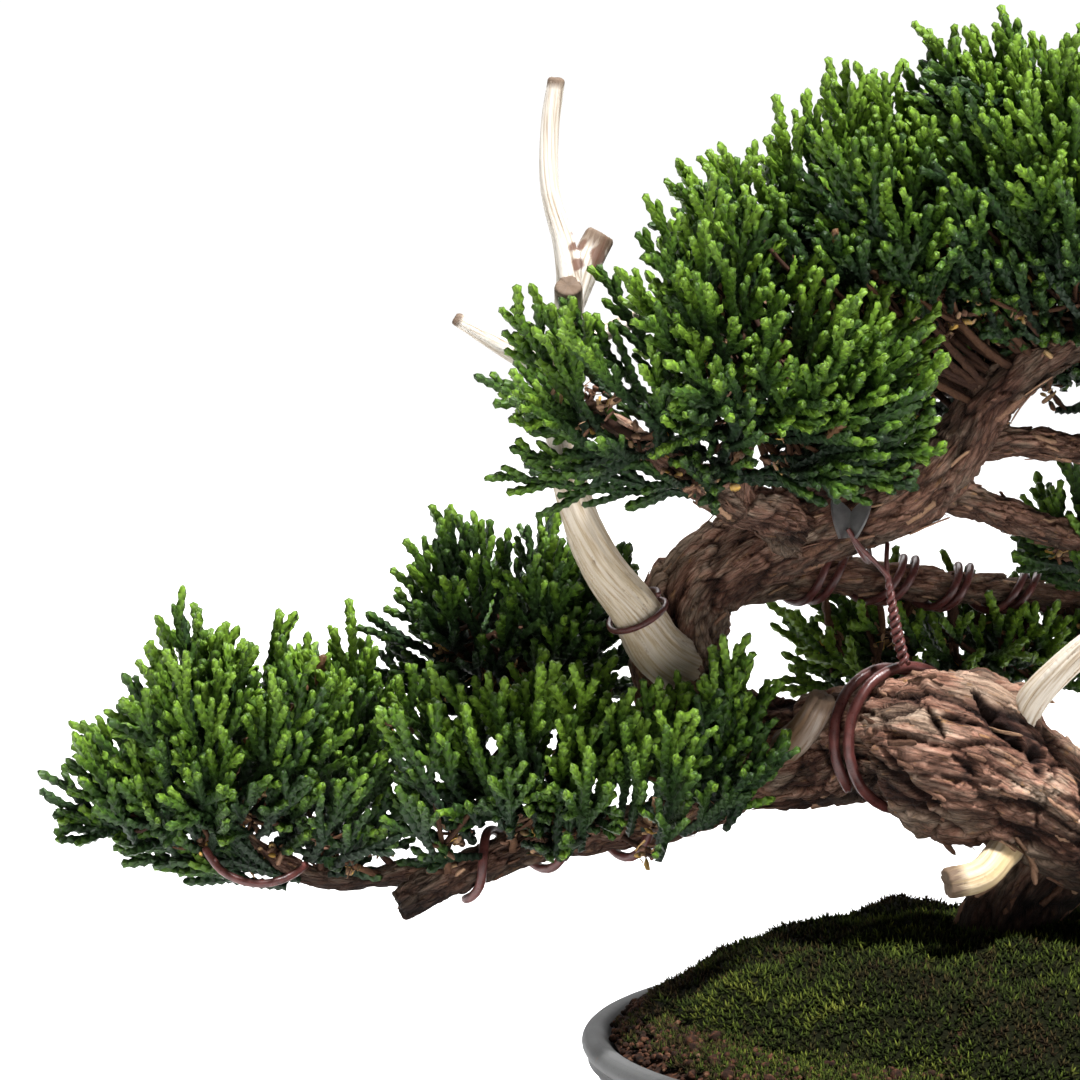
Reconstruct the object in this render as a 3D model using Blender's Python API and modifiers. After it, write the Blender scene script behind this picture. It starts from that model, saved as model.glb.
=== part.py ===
"""A trained juniper with deadwood, growing in a round stoneware pot.

Sizes and places are written in millimetres and the meshes are built in metres.  The pot is
measured from its own axis and its foot.  The tree is measured from the pot's axis and the plane
of the rim, so a taller pot lifts the tree and a wider one leaves it where it stands.
"""
from math import cos, pi, radians, sin, sqrt

import bmesh
import bpy
from mathutils import Matrix, Vector

MM = 0.001
CLEARANCE = 0.3

# The origin is on the ground under the middle of the whole object, so the pot stands beside it.
POT_AXIS_X = 51.9

# Pot: a turned bowl on a notched foot ring.
POT_RIM_RADIUS = 86.0
POT_HEIGHT = 61.0
RIM_WIDTH = 5.5
RIM_DEPTH = 6.0
RIM_CROWN = 0.45
LIP_GROOVE = 2.6
POT_WALL = 6.0
WALL_FLARE = 0.8
WALL_STEPS = 6
FOOT_RADIUS = 50.0
FOOT_WIDTH = 7.0
FOOT_HEIGHT = 6.0
FOOT_NOTCH_WIDTH = 16.0
FOOT_NOTCH_HEIGHT = 3.5
FOOT_NOTCHES = 3
FOOT_NOTCH_BEARING = 30.0
FLOOR_THICKNESS = 5.0
DRAIN_RADIUS = 10.0
TURN_STEPS = 28

# Drainage mesh, which laps over the hole's edge all round, and the wire clip that holds it.
MESH_OVERLAP = 4.5
MESH_THICKNESS = 1.0
MESH_CELLS = 7
CLIP_WIRE_RADIUS = 0.6
CLIP_FOOT = 7.5
RECESS_ROOM = 1.5

# Soil mound and the moss that covers it.
SOIL_EDGE_DROP = 1.5
SOIL_RISE = 19.0
DOME_POWER = 2.4
DOME_STEPS = 8
MOSS_THICKNESS = 3.2
MOSS_GAP = 0.8
MOSS_EDGE_SHARE = 0.7
# name, first and last bearing in degrees from +X, and how far in from the rim the moss stops
MOSS_PATCHES = (
    ("moss_right", -42.0, 34.0, 2.5),
    ("moss_back", 34.0, 112.0, 2.5),
    ("moss_back_left", 112.0, 188.0, 6.0),
    ("moss_left_front", 188.0, 256.0, 11.0),
    ("moss_front", 256.0, 318.0, 3.0),
)

# Trunk: points (x, y, z) and radius up the grown line from the roots to the apex.
TRUNK_GIRTH = 1.0
TRUNK_LINE = (
    ((-2.0, 7.0, -12.0), 12.5),
    ((-2.0, 7.0, 5.0), 11.5),
    ((-1.0, 8.0, 19.0), 9.8),
    ((5.5, 9.0, 29.0), 9.6),
    ((13.5, 10.0, 35.0), 9.8),
    ((22.0, 10.0, 37.5), 10.0),
    ((30.5, 6.5, 38.0), 10.0),
    ((34.0, -2.0, 38.0), 10.0),
    ((30.5, -10.5, 38.0), 10.2),
    ((22.0, -14.0, 39.5), 10.8),
    ((12.8, -14.0, 43.2), 11.5),
    ((2.7, -14.0, 51.2), 13.0),
    ((-7.3, -14.5, 57.5), 13.5),
    ((-15.5, -11.0, 60.2), 13.2),
    ((-21.5, -3.5, 60.0), 12.8),
    ((-27.5, 4.0, 58.5), 12.4),
    ((-36.0, 8.5, 56.2), 12.1),
    ((-45.5, 10.3, 54.6), 12.0),
    ((-55.0, 11.0, 56.5), 11.6),
    ((-63.0, 11.5, 65.0), 10.6),
    ((-66.0, 11.5, 77.0), 9.6),
    ((-62.5, 10.0, 88.5), 8.8),
    ((-53.0, 8.0, 95.8), 8.5),
    ((-42.0, 6.0, 100.3), 8.2),
    ((-30.0, 4.0, 105.0), 8.0),
    ((-19.0, 2.0, 110.5), 7.6),
    ((-11.0, 1.0, 118.5), 6.5),
    ((-5.0, 0.0, 127.4), 5.5),
    ((3.5, 0.0, 134.5), 4.8),
    ((14.0, -1.0, 141.0), 4.2),
    ((23.0, -2.0, 149.0), 3.4),
    ((29.0, -2.0, 160.0), 2.4),
)
KNUCKLE_CENTRE = (-11.0, -14.5, 58.5)
KNUCKLE_RADII = (18.5, 15.0, 17.3)
ROOT_BEARINGS = (20.0, 95.0, 165.0, 235.0, 305.0)
ROOT_REACH = 38.0
ROOT_RADIUS = 4.6
ROOT_TIP_RADIUS = 1.6
ROOT_START_HEIGHT = 4.0
ROOT_END_HEIGHT = -14.0

# Living branches: each is a list of limbs, and a limb is its points and radii.
LOW_LEFT_BRANCH = (
    (
        ((-54.9, 11.0, 50.2), 5.5),
        ((-62.0, 10.0, 44.8), 5.2),
        ((-72.2, 7.0, 40.8), 4.6),
        ((-82.3, 4.0, 39.7), 4.2),
        ((-94.4, 1.0, 38.2), 4.2),
        ((-108.4, -2.0, 33.4), 4.0),
        ((-117.4, -4.0, 29.3), 3.6),
        ((-122.8, -5.0, 26.4), 3.0),
    ),
    (
        ((-109.0, -2.0, 33.0), 2.6),
        ((-117.0, 1.5, 32.8), 2.6),
        ((-126.0, 2.5, 31.0), 2.5),
        ((-135.0, 2.0, 30.4), 2.3),
        ((-145.0, 0.0, 33.4), 2.1),
        ((-155.5, -2.0, 41.1), 1.8),
        ((-164.0, -3.0, 49.0), 1.4),
    ),
    (
        ((-90.0, 2.5, 38.8), 2.6),
        ((-96.0, 10.0, 48.0), 2.2),
        ((-103.0, 17.0, 62.0), 1.8),
        ((-107.0, 21.0, 76.0), 1.4),
    ),
)
UPPER_LEFT_BRANCH = (
    (
        ((-42.5, 3.0, 101.0), 5.6),
        ((-48.5, -7.0, 105.5), 5.0),
        ((-56.0, -14.0, 108.5), 4.4),
        ((-63.0, -18.0, 112.5), 3.6),
        ((-74.0, -22.0, 120.5), 2.6),
        ((-85.6, -24.0, 128.5), 1.6),
    ),
    (
        ((-56.0, -14.0, 108.5), 3.2),
        ((-54.8, -17.0, 121.0), 2.6),
        ((-53.4, -20.0, 135.0), 2.0),
        ((-55.1, -22.0, 150.0), 1.4),
    ),
)
BACK_BRANCH = (
    (
        ((-65.0, 11.0, 82.0), 4.4),
        ((-60.5, 22.0, 85.0), 4.2),
        ((-50.0, 27.0, 87.4), 4.0),
        ((-35.0, 31.0, 88.6), 3.8),
        ((-20.1, 37.0, 86.8), 3.6),
        ((-8.0, 43.0, 84.6), 3.4),
        ((4.0, 48.0, 83.4), 3.0),
        ((18.9, 54.0, 81.0), 2.2),
    ),
)
RIGHT_UPPER_BRANCH = (
    (
        ((-12.5, 1.5, 117.0), 3.8),
        ((-0.5, 6.0, 118.8), 3.2),
        ((14.4, 12.0, 116.6), 3.0),
        ((30.0, 15.0, 115.0), 2.6),
        ((46.0, 13.0, 118.0), 2.1),
        ((59.0, 8.0, 117.5), 1.5),
    ),
)
RIGHT_LOWER_BRANCH = (
    (
        ((-18.0, 2.5, 109.0), 3.8),
        ((-8.0, 6.5, 106.6), 3.4),
        ((2.0, 11.0, 102.6), 3.2),
        ((16.0, 20.0, 96.6), 2.8),
        ((31.0, 29.0, 93.5), 2.3),
        ((49.0, 29.0, 90.0), 1.6),
    ),
)

# Deadwood: stripped, bleached limbs.
SPAR = (
    (
        ((-66.5, 6.0, 73.0), 5.8),
        ((-71.4, -1.5, 78.5), 5.6),
        ((-76.0, -5.0, 86.7), 4.8),
        ((-82.5, -6.5, 96.0), 4.1),
        ((-87.5, -7.0, 108.1), 3.5),
        ((-89.8, -7.5, 120.1), 3.2),
        ((-90.8, -8.0, 128.1), 3.2),
        ((-90.1, -9.0, 138.1), 3.2),
        ((-88.5, -9.0, 148.0), 2.7),
        ((-89.5, -8.0, 157.8), 2.1),
        ((-92.4, -7.0, 169.6), 1.8),
        ((-92.4, -6.0, 181.3), 1.8),
        ((-91.1, -6.0, 191.5), 1.6),
    ),
    (
        ((-90.4, -8.2, 132.5), 3.0),
        ((-95.0, -9.0, 135.5), 2.4),
        ((-100.3, -10.0, 138.2), 2.0),
        ((-111.1, -12.0, 144.7), 1.2),
    ),
    (
        ((-89.2, -9.0, 142.0), 2.7),
        ((-88.9, -12.5, 147.5), 2.6),
        ((-88.9, -16.0, 151.4), 2.6),
    ),
    (
        ((-88.6, -9.0, 147.0), 2.8),
        ((-86.0, -7.0, 153.7), 3.0),
        ((-82.5, -5.0, 160.5), 3.0),
    ),
    (
        ((-89.6, -8.8, 138.5), 2.6),
        ((-82.5, -6.0, 141.3), 2.0),
        ((-73.6, -4.0, 144.5), 1.5),
    ),
)
LOW_JIN = (
    (
        ((2.0, -12.0, 43.5), 3.6),
        ((-3.3, -20.0, 39.6), 3.3),
        ((-8.0, -26.0, 36.2), 3.1),
        ((-14.7, -28.0, 34.9), 2.9),
    ),
)
RIGHT_JIN = (
    (
        ((-1.0, -14.0, 62.0), 3.4),
        ((3.0, -22.0, 71.5), 3.0),
        ((10.8, -28.0, 80.5), 2.6),
        ((19.0, -32.0, 88.0), 2.2),
        ((26.0, -33.0, 97.0), 1.8),
        ((30.0, -32.0, 109.0), 1.4),
    ),
)
LEFT_JIN = (
    (
        ((-45.5, 3.0, 57.0), 3.4),
        ((-43.5, -5.0, 60.0), 3.2),
        ((-40.5, -9.0, 64.5), 2.8),
        ((-38.0, -11.0, 69.5), 2.4),
    ),
)

# Foliage pads: each is a cluster of lobes, and a lobe is its centre and its three radii.
FOLIAGE_PADS = (
    ("foliage_left", (
        ((-174.5, -2.0, 52.3), (16.0, 20.0, 13.0)),
        ((-159.5, 0.0, 60.1), (20.0, 26.0, 25.0)),
        ((-142.6, 2.0, 59.5), (19.0, 27.0, 23.0)),
        ((-136.0, 0.0, 44.0), (13.0, 18.0, 12.0)),
    )),
    ("foliage_middle_front", (
        ((-112.4, -5.0, 55.8), (14.0, 22.0, 19.0)),
        ((-90.4, -10.0, 58.2), (26.0, 24.0, 19.0)),
        ((-69.0, -16.0, 57.0), (19.0, 18.0, 17.0)),
        ((-56.0, -15.0, 68.0), (10.0, 12.0, 17.0)),
    )),
    ("foliage_middle_back", (
        ((-108.7, 22.0, 80.5), (20.0, 20.0, 20.0)),
        ((-90.3, 25.0, 81.0), (20.0, 20.0, 21.0)),
    )),
    ("foliage_upper_left", (
        ((-85.6, -24.0, 132.5), (20.0, 24.0, 18.0)),
        ((-63.4, -26.0, 141.4), (24.0, 28.0, 28.0)),
        ((-38.1, -26.0, 135.6), (22.0, 24.0, 21.0)),
    )),
    ("foliage_crown_left", (
        ((-52.0, -8.0, 160.0), (20.0, 26.0, 24.0)),
        ((-28.0, -2.0, 166.0), (25.0, 31.0, 28.0)),
    )),
    ("foliage_crown_top", (
        ((4.0, 0.0, 171.0), (36.0, 38.0, 32.0)),
    )),
    ("foliage_crown_back", (
        ((-8.0, 36.0, 148.0), (36.0, 26.0, 24.0)),
        ((22.0, 34.0, 146.0), (28.0, 26.0, 20.0)),
    )),
    ("foliage_crown_right", (
        ((41.0, -4.0, 152.0), (30.0, 34.0, 24.0)),
    )),
    ("foliage_right_upper", (
        ((46.0, 10.0, 120.0), (24.0, 24.0, 14.0)),
        ((62.0, 4.0, 116.0), (18.0, 20.0, 12.0)),
    )),
    ("foliage_right_lower", (
        ((26.0, 30.0, 98.5), (24.0, 22.0, 13.0)),
        ((50.0, 28.0, 92.0), (22.0, 22.0, 13.0)),
    )),
    ("foliage_back", (
        ((-25.0, 48.0, 74.5), (22.0, 18.0, 12.5)),
        ((0.0, 54.0, 75.0), (24.0, 20.0, 13.5)),
        ((24.0, 58.0, 76.0), (20.0, 18.0, 12.0)),
    )),
)

# Training wires: name, limb, wire radius, where it starts and ends, turns and starting bearing.
HEAVY_WIRE_RADIUS = 1.15
MIDDLE_WIRE_RADIUS = 1.0
LIGHT_WIRE_RADIUS = 0.85
THIN_WIRE_RADIUS = 0.65
WIRE_GAP = 0.5
WIRE_STEPS = 12
WINDING_STEP = 3.0
WOUND_WIRES = (
    ("wire_trunk", TRUNK_LINE, HEAVY_WIRE_RADIUS,
     (-20.5, -5.0, 60.0), (-26.0, 2.0, 59.0), 1.75, 120.0),
    ("wire_back_first", BACK_BRANCH[0], LIGHT_WIRE_RADIUS,
     (-50.0, 27.0, 87.4), (12.0, 51.0, 82.0), 4.5, 0.0),
    ("wire_back_second", BACK_BRANCH[0], LIGHT_WIRE_RADIUS,
     (-50.0, 27.0, 87.4), (12.0, 51.0, 82.0), 4.5, 70.0),
    ("wire_low_left", LOW_LEFT_BRANCH[0], MIDDLE_WIRE_RADIUS,
     (-72.2, 7.0, 40.8), (-110.0, -2.6, 32.2), 2.4, 315.0),
    ("wire_spar", SPAR[0], THIN_WIRE_RADIUS,
     (-73.5, -3.5, 82.5), (-76.5, -5.0, 87.5), 1.4, 150.0),
)
WIRE_LEFT_TAIL = (
    (-141.0, -5.5, 35.0),
    (-143.2, -10.0, 33.8),
    (-147.1, -12.5, 32.4),
    (-152.2, -12.5, 32.2),
    (-157.9, -11.0, 34.4),
    (-161.3, -9.0, 38.9),
)

# Guy wire: a thin wire looped over the upper trunk and twisted down to the heavy wire.
GUY_WIRE_RADIUS = 0.5
GUY_TWIST_RADIUS = 1.1
GUY_TWIST = ((-22.4, -5.5, 78.4), (-23.0, -5.8, 82.2), (-23.6, -6.0, 86.0))
GUY_LOOP_TURN = -45.0
GUY_LOOP_ARC = 290.0
GUY_RISE_SHARE = 0.3
GUY_FALL_SHARE = 0.45

# Guard tube that keeps the guy wire from biting into the upper trunk.
GUARD_PLACE = (-32.0, 4.0, 104.2)
GUARD_LENGTH = 8.0
GUARD_THICKNESS = 1.0
GUARD_TURN = -60.0
GUARD_ARC = 260.0
GUARD_STEPS = 12
GUARD_RINGS = 3

LIMB_STEP = 7.0
TRUNK_SIDES_RESOLUTION = 4
LIMB_SIDES_RESOLUTION = 2
WIRE_SIDES_RESOLUTION = 1
LOBE_SUBDIVISIONS = 2
WELD_DISTANCE = 1e-6
WEDGE_STEP = 12.0
CUTTER_REACH = 1.5


# ---------------------------------------------------------------- scene and materials


def clear_scene():
    """Remove every object that the file opened with."""
    for obj in list(bpy.data.objects):
        bpy.data.objects.remove(obj, do_unlink=True)


def new_collection(name):
    """Make a collection under the scene."""
    collection = bpy.data.collections.new(name)
    bpy.context.scene.collection.children.link(collection)
    return collection


def material(name, colour, roughness, metallic=0.0):
    """Return the Principled material of that name, made the first time it is asked for."""
    found = bpy.data.materials.get(name)
    if found:
        return found
    made = bpy.data.materials.new(name)
    made.use_nodes = True
    shader = made.node_tree.nodes["Principled BSDF"]
    shader.inputs["Base Color"].default_value = (*colour, 1.0)
    shader.inputs["Roughness"].default_value = roughness
    shader.inputs["Metallic"].default_value = metallic
    return made


def stoneware():
    return material("stoneware", (0.21, 0.21, 0.205), 0.62)


def soil_grit():
    return material("soil_grit", (0.055, 0.034, 0.022), 0.95)


def moss_green():
    return material("moss_green", (0.085, 0.115, 0.02), 0.95)


def bark():
    return material("bark", (0.2, 0.105, 0.07), 0.85)


def bleached_wood():
    return material("bleached_wood", (0.62, 0.54, 0.43), 0.75)


def leaf_green():
    return material("leaf_green", (0.07, 0.19, 0.025), 0.6)


def copper_brown_wire():
    return material("copper_brown_wire", (0.12, 0.035, 0.025), 0.35, 0.8)


def grey_rubber():
    return material("grey_rubber", (0.12, 0.12, 0.12), 0.5)


def black_plastic():
    return material("black_plastic", (0.02, 0.02, 0.02), 0.55)


def bare_wire():
    return material("bare_wire", (0.6, 0.6, 0.6), 0.35, 1.0)


# ---------------------------------------------------------------- placing and joining


def place(obj, collection, parent, surface=None):
    """Link an object, hang it on its parent empty and give it its material."""
    collection.objects.link(obj)
    obj.parent = parent
    if surface:
        obj.data.materials.clear()
        obj.data.materials.append(surface)
    return obj


def as_cutter(obj):
    """Keep an object in the file as a guide that is neither rendered nor built."""
    obj.hide_render = True
    obj.display_type = "WIRE"
    return obj


def combine(target, other, operation):
    """Add an exact boolean of the other object to the target."""
    step = target.modifiers.new(f"{operation.lower()}_{other.name}", "BOOLEAN")
    step.operation = operation
    step.solver = "EXACT"
    step.object = other


def mesh_object(name, shape):
    """Turn a bmesh into an object and free it."""
    mesh = bpy.data.meshes.new(name)
    shape.to_mesh(mesh)
    shape.free()
    return bpy.data.objects.new(name, mesh)


def smooth(obj, angle=40.0):
    """Shade smooth and keep the real corners sharp."""
    obj.data.shade_smooth()
    obj.data.set_sharp_from_angle(angle=radians(angle))
    return obj


# ---------------------------------------------------------------- lines and tubes


def smooth_line(points, step=LIMB_STEP):
    """Read points about a step apart from a smooth curve through (place, radius) pairs."""
    places = [Vector((*place_, radius)) for place_, radius in points]
    before = 2 * places[0] - places[1]
    after = 2 * places[-1] - places[-2]
    places = [before, *places, after]
    line = []
    for a, b, c, d in zip(places, places[1:], places[2:], places[3:]):
        parts = max(1, round((c.xyz - b.xyz).length / step))
        for i in range(parts):
            t = i / parts
            line.append(0.5 * (
                2 * b + (c - a) * t + (2 * a - 5 * b + 4 * c - d) * t * t
                + (3 * b - a - 3 * c + d) * t ** 3
            ))
    line.append(places[-2])
    return [(value.xyz, value.w) for value in line]


def swell(line, extra):
    """Thicken a line by the same amount all along, and lengthen both its ends by it."""
    line = [(Vector(place_), radius + extra) for place_, radius in line]
    for end, inner in ((0, 1), (-1, -2)):
        place_, radius = line[end]
        outward = (place_ - line[inner][0]).normalized()
        line[end] = (place_ + outward * extra, radius)
    return line


def solid_from_curve(name, curve, matrix):
    """Turn a curve into one closed mesh object, weld its caps and remove the curve."""
    carrier = bpy.data.objects.new(f"{name}_line", curve)
    carrier.matrix_world = matrix
    bpy.context.scene.collection.objects.link(carrier)
    depsgraph = bpy.context.evaluated_depsgraph_get()
    mesh = bpy.data.meshes.new_from_object(carrier.evaluated_get(depsgraph))
    mesh.name = name
    shape = bmesh.new()
    shape.from_mesh(mesh)
    bmesh.ops.remove_doubles(shape, verts=shape.verts, dist=WELD_DISTANCE)
    bmesh.ops.recalc_face_normals(shape, faces=shape.faces)
    shape.to_mesh(mesh)
    shape.free()
    obj = bpy.data.objects.new(name, mesh)
    obj.matrix_world = carrier.matrix_world
    bpy.data.objects.remove(carrier)
    bpy.data.curves.remove(curve)
    return smooth(obj)


def tube(name, line, resolution):
    """Sweep a round section along (place, radius) pairs."""
    curve = bpy.data.curves.new(name, "CURVE")
    curve.dimensions = "3D"
    curve.bevel_depth = MM
    curve.bevel_resolution = resolution
    curve.use_fill_caps = True
    spline = curve.splines.new("POLY")
    spline.points.add(len(line) - 1)
    for control, (place_, radius) in zip(spline.points, line):
        control.co = (*(Vector(place_) * MM), 1.0)
        control.radius = radius
    return solid_from_curve(name, curve, Matrix())


def share_near(line, place_):
    """Find how far along a line, as a share, it passes closest to a place."""
    place_ = Vector(place_)
    nearest = min(range(len(line)), key=lambda i: (line[i][0] - place_).length)
    return nearest / (len(line) - 1)


def station(line, share):
    """Read a line a share of the way along: its centre, its front, its other side, its radius.

    The other side is the upper one where the line runs to the right.
    """
    position = share * (len(line) - 1)
    low = min(int(position), len(line) - 2)
    t = position - low
    here, radius = line[low]
    ahead, radius_ahead = line[low + 1]
    before = line[max(low - 1, 0)][0]
    after = line[min(low + 2, len(line) - 1)][0]
    along = (ahead - before).normalized().lerp((after - here).normalized(), t).normalized()
    front = Vector((0.0, -1.0, 0.0))
    front = (front - along * front.dot(along)).normalized()
    return here.lerp(ahead, t), front, front.cross(along), radius * (1 - t) + radius_ahead * t


def beside(line, share, turn, lift):
    """Find the place beside a line at a turn in degrees from its front, lifted off its skin."""
    centre, front, over, radius = station(line, share)
    angle = radians(turn)
    return centre + (front * cos(angle) + over * sin(angle)) * (radius + lift)


def wound_line(limb, wire_radius, first, last, turns, phase):
    """Wind a wire round a limb from the place nearest one point to the place nearest another."""
    line = smooth_line(limb, WINDING_STEP)
    start, stop = share_near(line, first), share_near(line, last)
    steps = round(abs(turns) * WIRE_STEPS)
    wound = []
    for i in range(steps + 1):
        share = start + (stop - start) * i / steps
        sag = station(line, share)[3] * (1.0 / cos(pi / WIRE_STEPS) - 1.0)
        rise = sag + WIRE_GAP + wire_radius
        wound.append((beside(line, share, phase + 360.0 * turns * i / steps, rise), wire_radius))
    return wound


def ellipsoid(name, centre, radii, extra=0.0):
    """Make one rounded lobe."""
    size = Matrix.Diagonal([(radius + extra) * MM for radius in radii]).to_4x4()
    shape = bmesh.new()
    bmesh.ops.create_icosphere(
        shape,
        subdivisions=LOBE_SUBDIVISIONS,
        radius=1.0,
        matrix=Matrix.Translation(Vector(centre) * MM) @ size,
    )
    return smooth(mesh_object(name, shape))


def turned(name, profile, steps=TURN_STEPS):
    """Turn a closed profile of (radius, height) points about the pot's axis."""
    shape = bmesh.new()
    corners = [shape.verts.new((radius * MM, 0.0, height * MM)) for radius, height in profile]
    for a, b in zip(corners, corners[1:]):
        shape.edges.new((a, b))
    if profile[0][0] > 0.0:
        shape.edges.new((corners[-1], corners[0]))
    obj = mesh_object(name, shape)
    spin = obj.modifiers.new("turn", "SCREW")
    spin.axis = "Z"
    spin.angle = 2 * pi
    spin.steps = steps
    spin.render_steps = steps
    spin.use_merge_vertices = True
    spin.merge_threshold = WELD_DISTANCE
    spin.use_smooth_shade = True
    return obj


def wedge(name, first, last, reach, low, high):
    """Make an upright wedge between two bearings, drawn back from both by half the moss gap."""
    outline = bpy.data.curves.new(name, "CURVE")
    outline.dimensions = "2D"
    outline.fill_mode = "BOTH"
    outline.extrude = (high - low) * MM / 2
    steps = max(2, round((last - first) / WEDGE_STEP))
    bearings = [radians(first + (last - first) * i / steps) for i in range(steps + 1)]
    middle, half = radians(first + last) / 2, radians(last - first) / 2
    back = MOSS_GAP / 2 / sin(half)
    tip = Vector((cos(middle) * back, sin(middle) * back))
    rim = [tip + Vector((cos(bearing), sin(bearing))) * reach for bearing in bearings]
    spline = outline.splines.new("POLY")
    spline.points.add(len(rim))
    for control, corner in zip(spline.points, [tip, *rim]):
        control.co = (corner.x * MM, corner.y * MM, 0.0, 1.0)
    spline.use_cyclic_u = True
    return solid_from_curve(name, outline, Matrix.Translation((0.0, 0.0, (low + high) * MM / 2)))


def box(name, low, high):
    """Make a box between two corners."""
    shape = bmesh.new()
    bmesh.ops.create_cube(shape, size=1.0)
    low, high = Vector(low) * MM, Vector(high) * MM
    size = Matrix.Diagonal(high - low).to_4x4()
    bmesh.ops.transform(shape, matrix=Matrix.Translation((low + high) / 2) @ size,
                        verts=shape.verts)
    return mesh_object(name, shape)


# ---------------------------------------------------------------- pot


def outer_radius(height):
    """Give the pot's outer radius between the foot ring and the groove under the lip."""
    share = (height - FOOT_HEIGHT) / (groove_height() - FOOT_HEIGHT)
    return FOOT_RADIUS + (groove_radius() - FOOT_RADIUS) * max(share, 0.0) ** WALL_FLARE


def groove_height():
    return POT_HEIGHT - RIM_DEPTH - LIP_GROOVE / 2


def groove_radius():
    return POT_RIM_RADIUS - LIP_GROOVE


def floor_height():
    return FOOT_HEIGHT + FLOOR_THICKNESS


def mouth_radius():
    return POT_RIM_RADIUS - RIM_WIDTH


def wall_heights():
    """Space the wall's profile points from the foot ring up to the groove."""
    rise = groove_height() - FOOT_HEIGHT
    return [FOOT_HEIGHT + rise * i / WALL_STEPS for i in range(WALL_STEPS + 1)]


def inner_profile():
    """Give the inner wall from the mouth down to the floor."""
    lower = [height for height in reversed(wall_heights()) if height > floor_height() + POT_WALL]
    wall = [(outer_radius(height) - POT_WALL, height) for height in lower]
    corner = outer_radius(floor_height()) - POT_WALL
    return [
        (mouth_radius(), POT_HEIGHT - RIM_WIDTH / 2),
        *wall,
        (corner, floor_height() + POT_WALL / 3),
        (corner - POT_WALL / 2, floor_height()),
    ]


def pot_profile():
    """Give the pot's section: over the rim, down the outside, across the foot and up the inside."""
    rim_middle = POT_RIM_RADIUS - RIM_WIDTH / 2
    rim = [
        (rim_middle - RIM_WIDTH / 4, POT_HEIGHT - RIM_CROWN),
        (rim_middle, POT_HEIGHT),
        (rim_middle + RIM_WIDTH / 4, POT_HEIGHT - RIM_CROWN),
        (POT_RIM_RADIUS, POT_HEIGHT - RIM_WIDTH / 3),
        (POT_RIM_RADIUS, POT_HEIGHT - RIM_DEPTH + LIP_GROOVE / 2),
    ]
    wall = [(outer_radius(height), height) for height in reversed(wall_heights())]
    foot = [
        (FOOT_RADIUS, 0.0),
        (FOOT_RADIUS - FOOT_WIDTH, 0.0),
        (FOOT_RADIUS - FOOT_WIDTH, FOOT_HEIGHT),
        (DRAIN_RADIUS, FOOT_HEIGHT),
        (DRAIN_RADIUS, floor_height()),
    ]
    return rim + wall + foot + inner_profile()[::-1]


def make_pot(parts, cutters, axis):
    """Turn the bowl and cut the notches through its foot ring."""
    pot = place(turned("pot", pot_profile()), parts, axis, stoneware())
    for i in range(FOOT_NOTCHES):
        notch = box(
            f"foot_notch_{i + 1}",
            (FOOT_RADIUS - FOOT_WIDTH * CUTTER_REACH, -FOOT_NOTCH_WIDTH / 2, -FOOT_HEIGHT),
            (FOOT_RADIUS + FOOT_WIDTH * CUTTER_REACH, FOOT_NOTCH_WIDTH / 2, FOOT_NOTCH_HEIGHT),
        )
        place(as_cutter(notch), cutters, axis)
        notch.rotation_euler.z = radians(FOOT_NOTCH_BEARING + 360.0 * i / FOOT_NOTCHES)
        combine(pot, notch, "DIFFERENCE")
    return pot


# ---------------------------------------------------------------- drainage


def mesh_size():
    return 2 * (DRAIN_RADIUS + MESH_OVERLAP)


def mesh_pitch():
    return mesh_size() / MESH_CELLS


def mesh_bottom():
    return floor_height() + CLEARANCE


def mesh_top():
    return mesh_bottom() + MESH_THICKNESS


def make_drain_mesh(parts, axis):
    """Make the square plastic mesh: a grid with every other cell open."""
    shape = bmesh.new()
    cell, half = mesh_pitch() * MM, mesh_size() * MM / 2
    bmesh.ops.create_grid(shape, x_segments=MESH_CELLS, y_segments=MESH_CELLS, size=half)
    open_cells = []
    for face in shape.faces:
        middle = face.calc_center_median()
        column = int((middle.x + half) / cell)
        row = int((middle.y + half) / cell)
        if column % 2 and row % 2:
            open_cells.append(face)
    bmesh.ops.delete(shape, geom=open_cells, context="FACES")
    bmesh.ops.translate(shape, vec=(0.0, 0.0, mesh_top() * MM), verts=shape.verts)
    mesh = place(mesh_object("drain_mesh", shape), parts, axis, black_plastic())
    wall = mesh.modifiers.new("thickness", "SOLIDIFY")
    wall.thickness = MESH_THICKNESS * MM
    wall.offset = -1.0
    return mesh


def clip_line():
    """Route the clip over the mesh, down through two of its holes and out under the floor."""
    leg = 2 * mesh_pitch()
    bend = mesh_pitch() / 4
    over = mesh_top() + CLEARANCE + CLIP_WIRE_RADIUS
    under = FOOT_HEIGHT - CLEARANCE - CLIP_WIRE_RADIUS
    half = (
        (leg + CLIP_FOOT, under),
        (leg + bend, under),
        (leg, under + bend),
        (leg, over - bend),
        (leg - bend, over),
    )
    right = [((x, 0.0, z), CLIP_WIRE_RADIUS) for x, z in half]
    left = [((-x, 0.0, z), CLIP_WIRE_RADIUS) for x, z in reversed(half)]
    return right + left


def make_mesh_clip(parts, axis):
    """Bend the wire clip that holds the mesh."""
    clip = tube("mesh_clip", clip_line(), WIRE_SIDES_RESOLUTION)
    return place(clip, parts, axis, bare_wire())


# ---------------------------------------------------------------- soil and moss


def soil_radius():
    return mouth_radius() - CLEARANCE


def soil_top(radius):
    """Give the soil mound's height at a radius."""
    fall = (radius / soil_radius()) ** DOME_POWER
    return POT_HEIGHT - SOIL_EDGE_DROP + SOIL_RISE * (1.0 - fall)


def dome_radii():
    """Space the mound's profile points from the axis to the wall."""
    return [soil_radius() * i / DOME_STEPS for i in range(DOME_STEPS + 1)]


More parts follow.
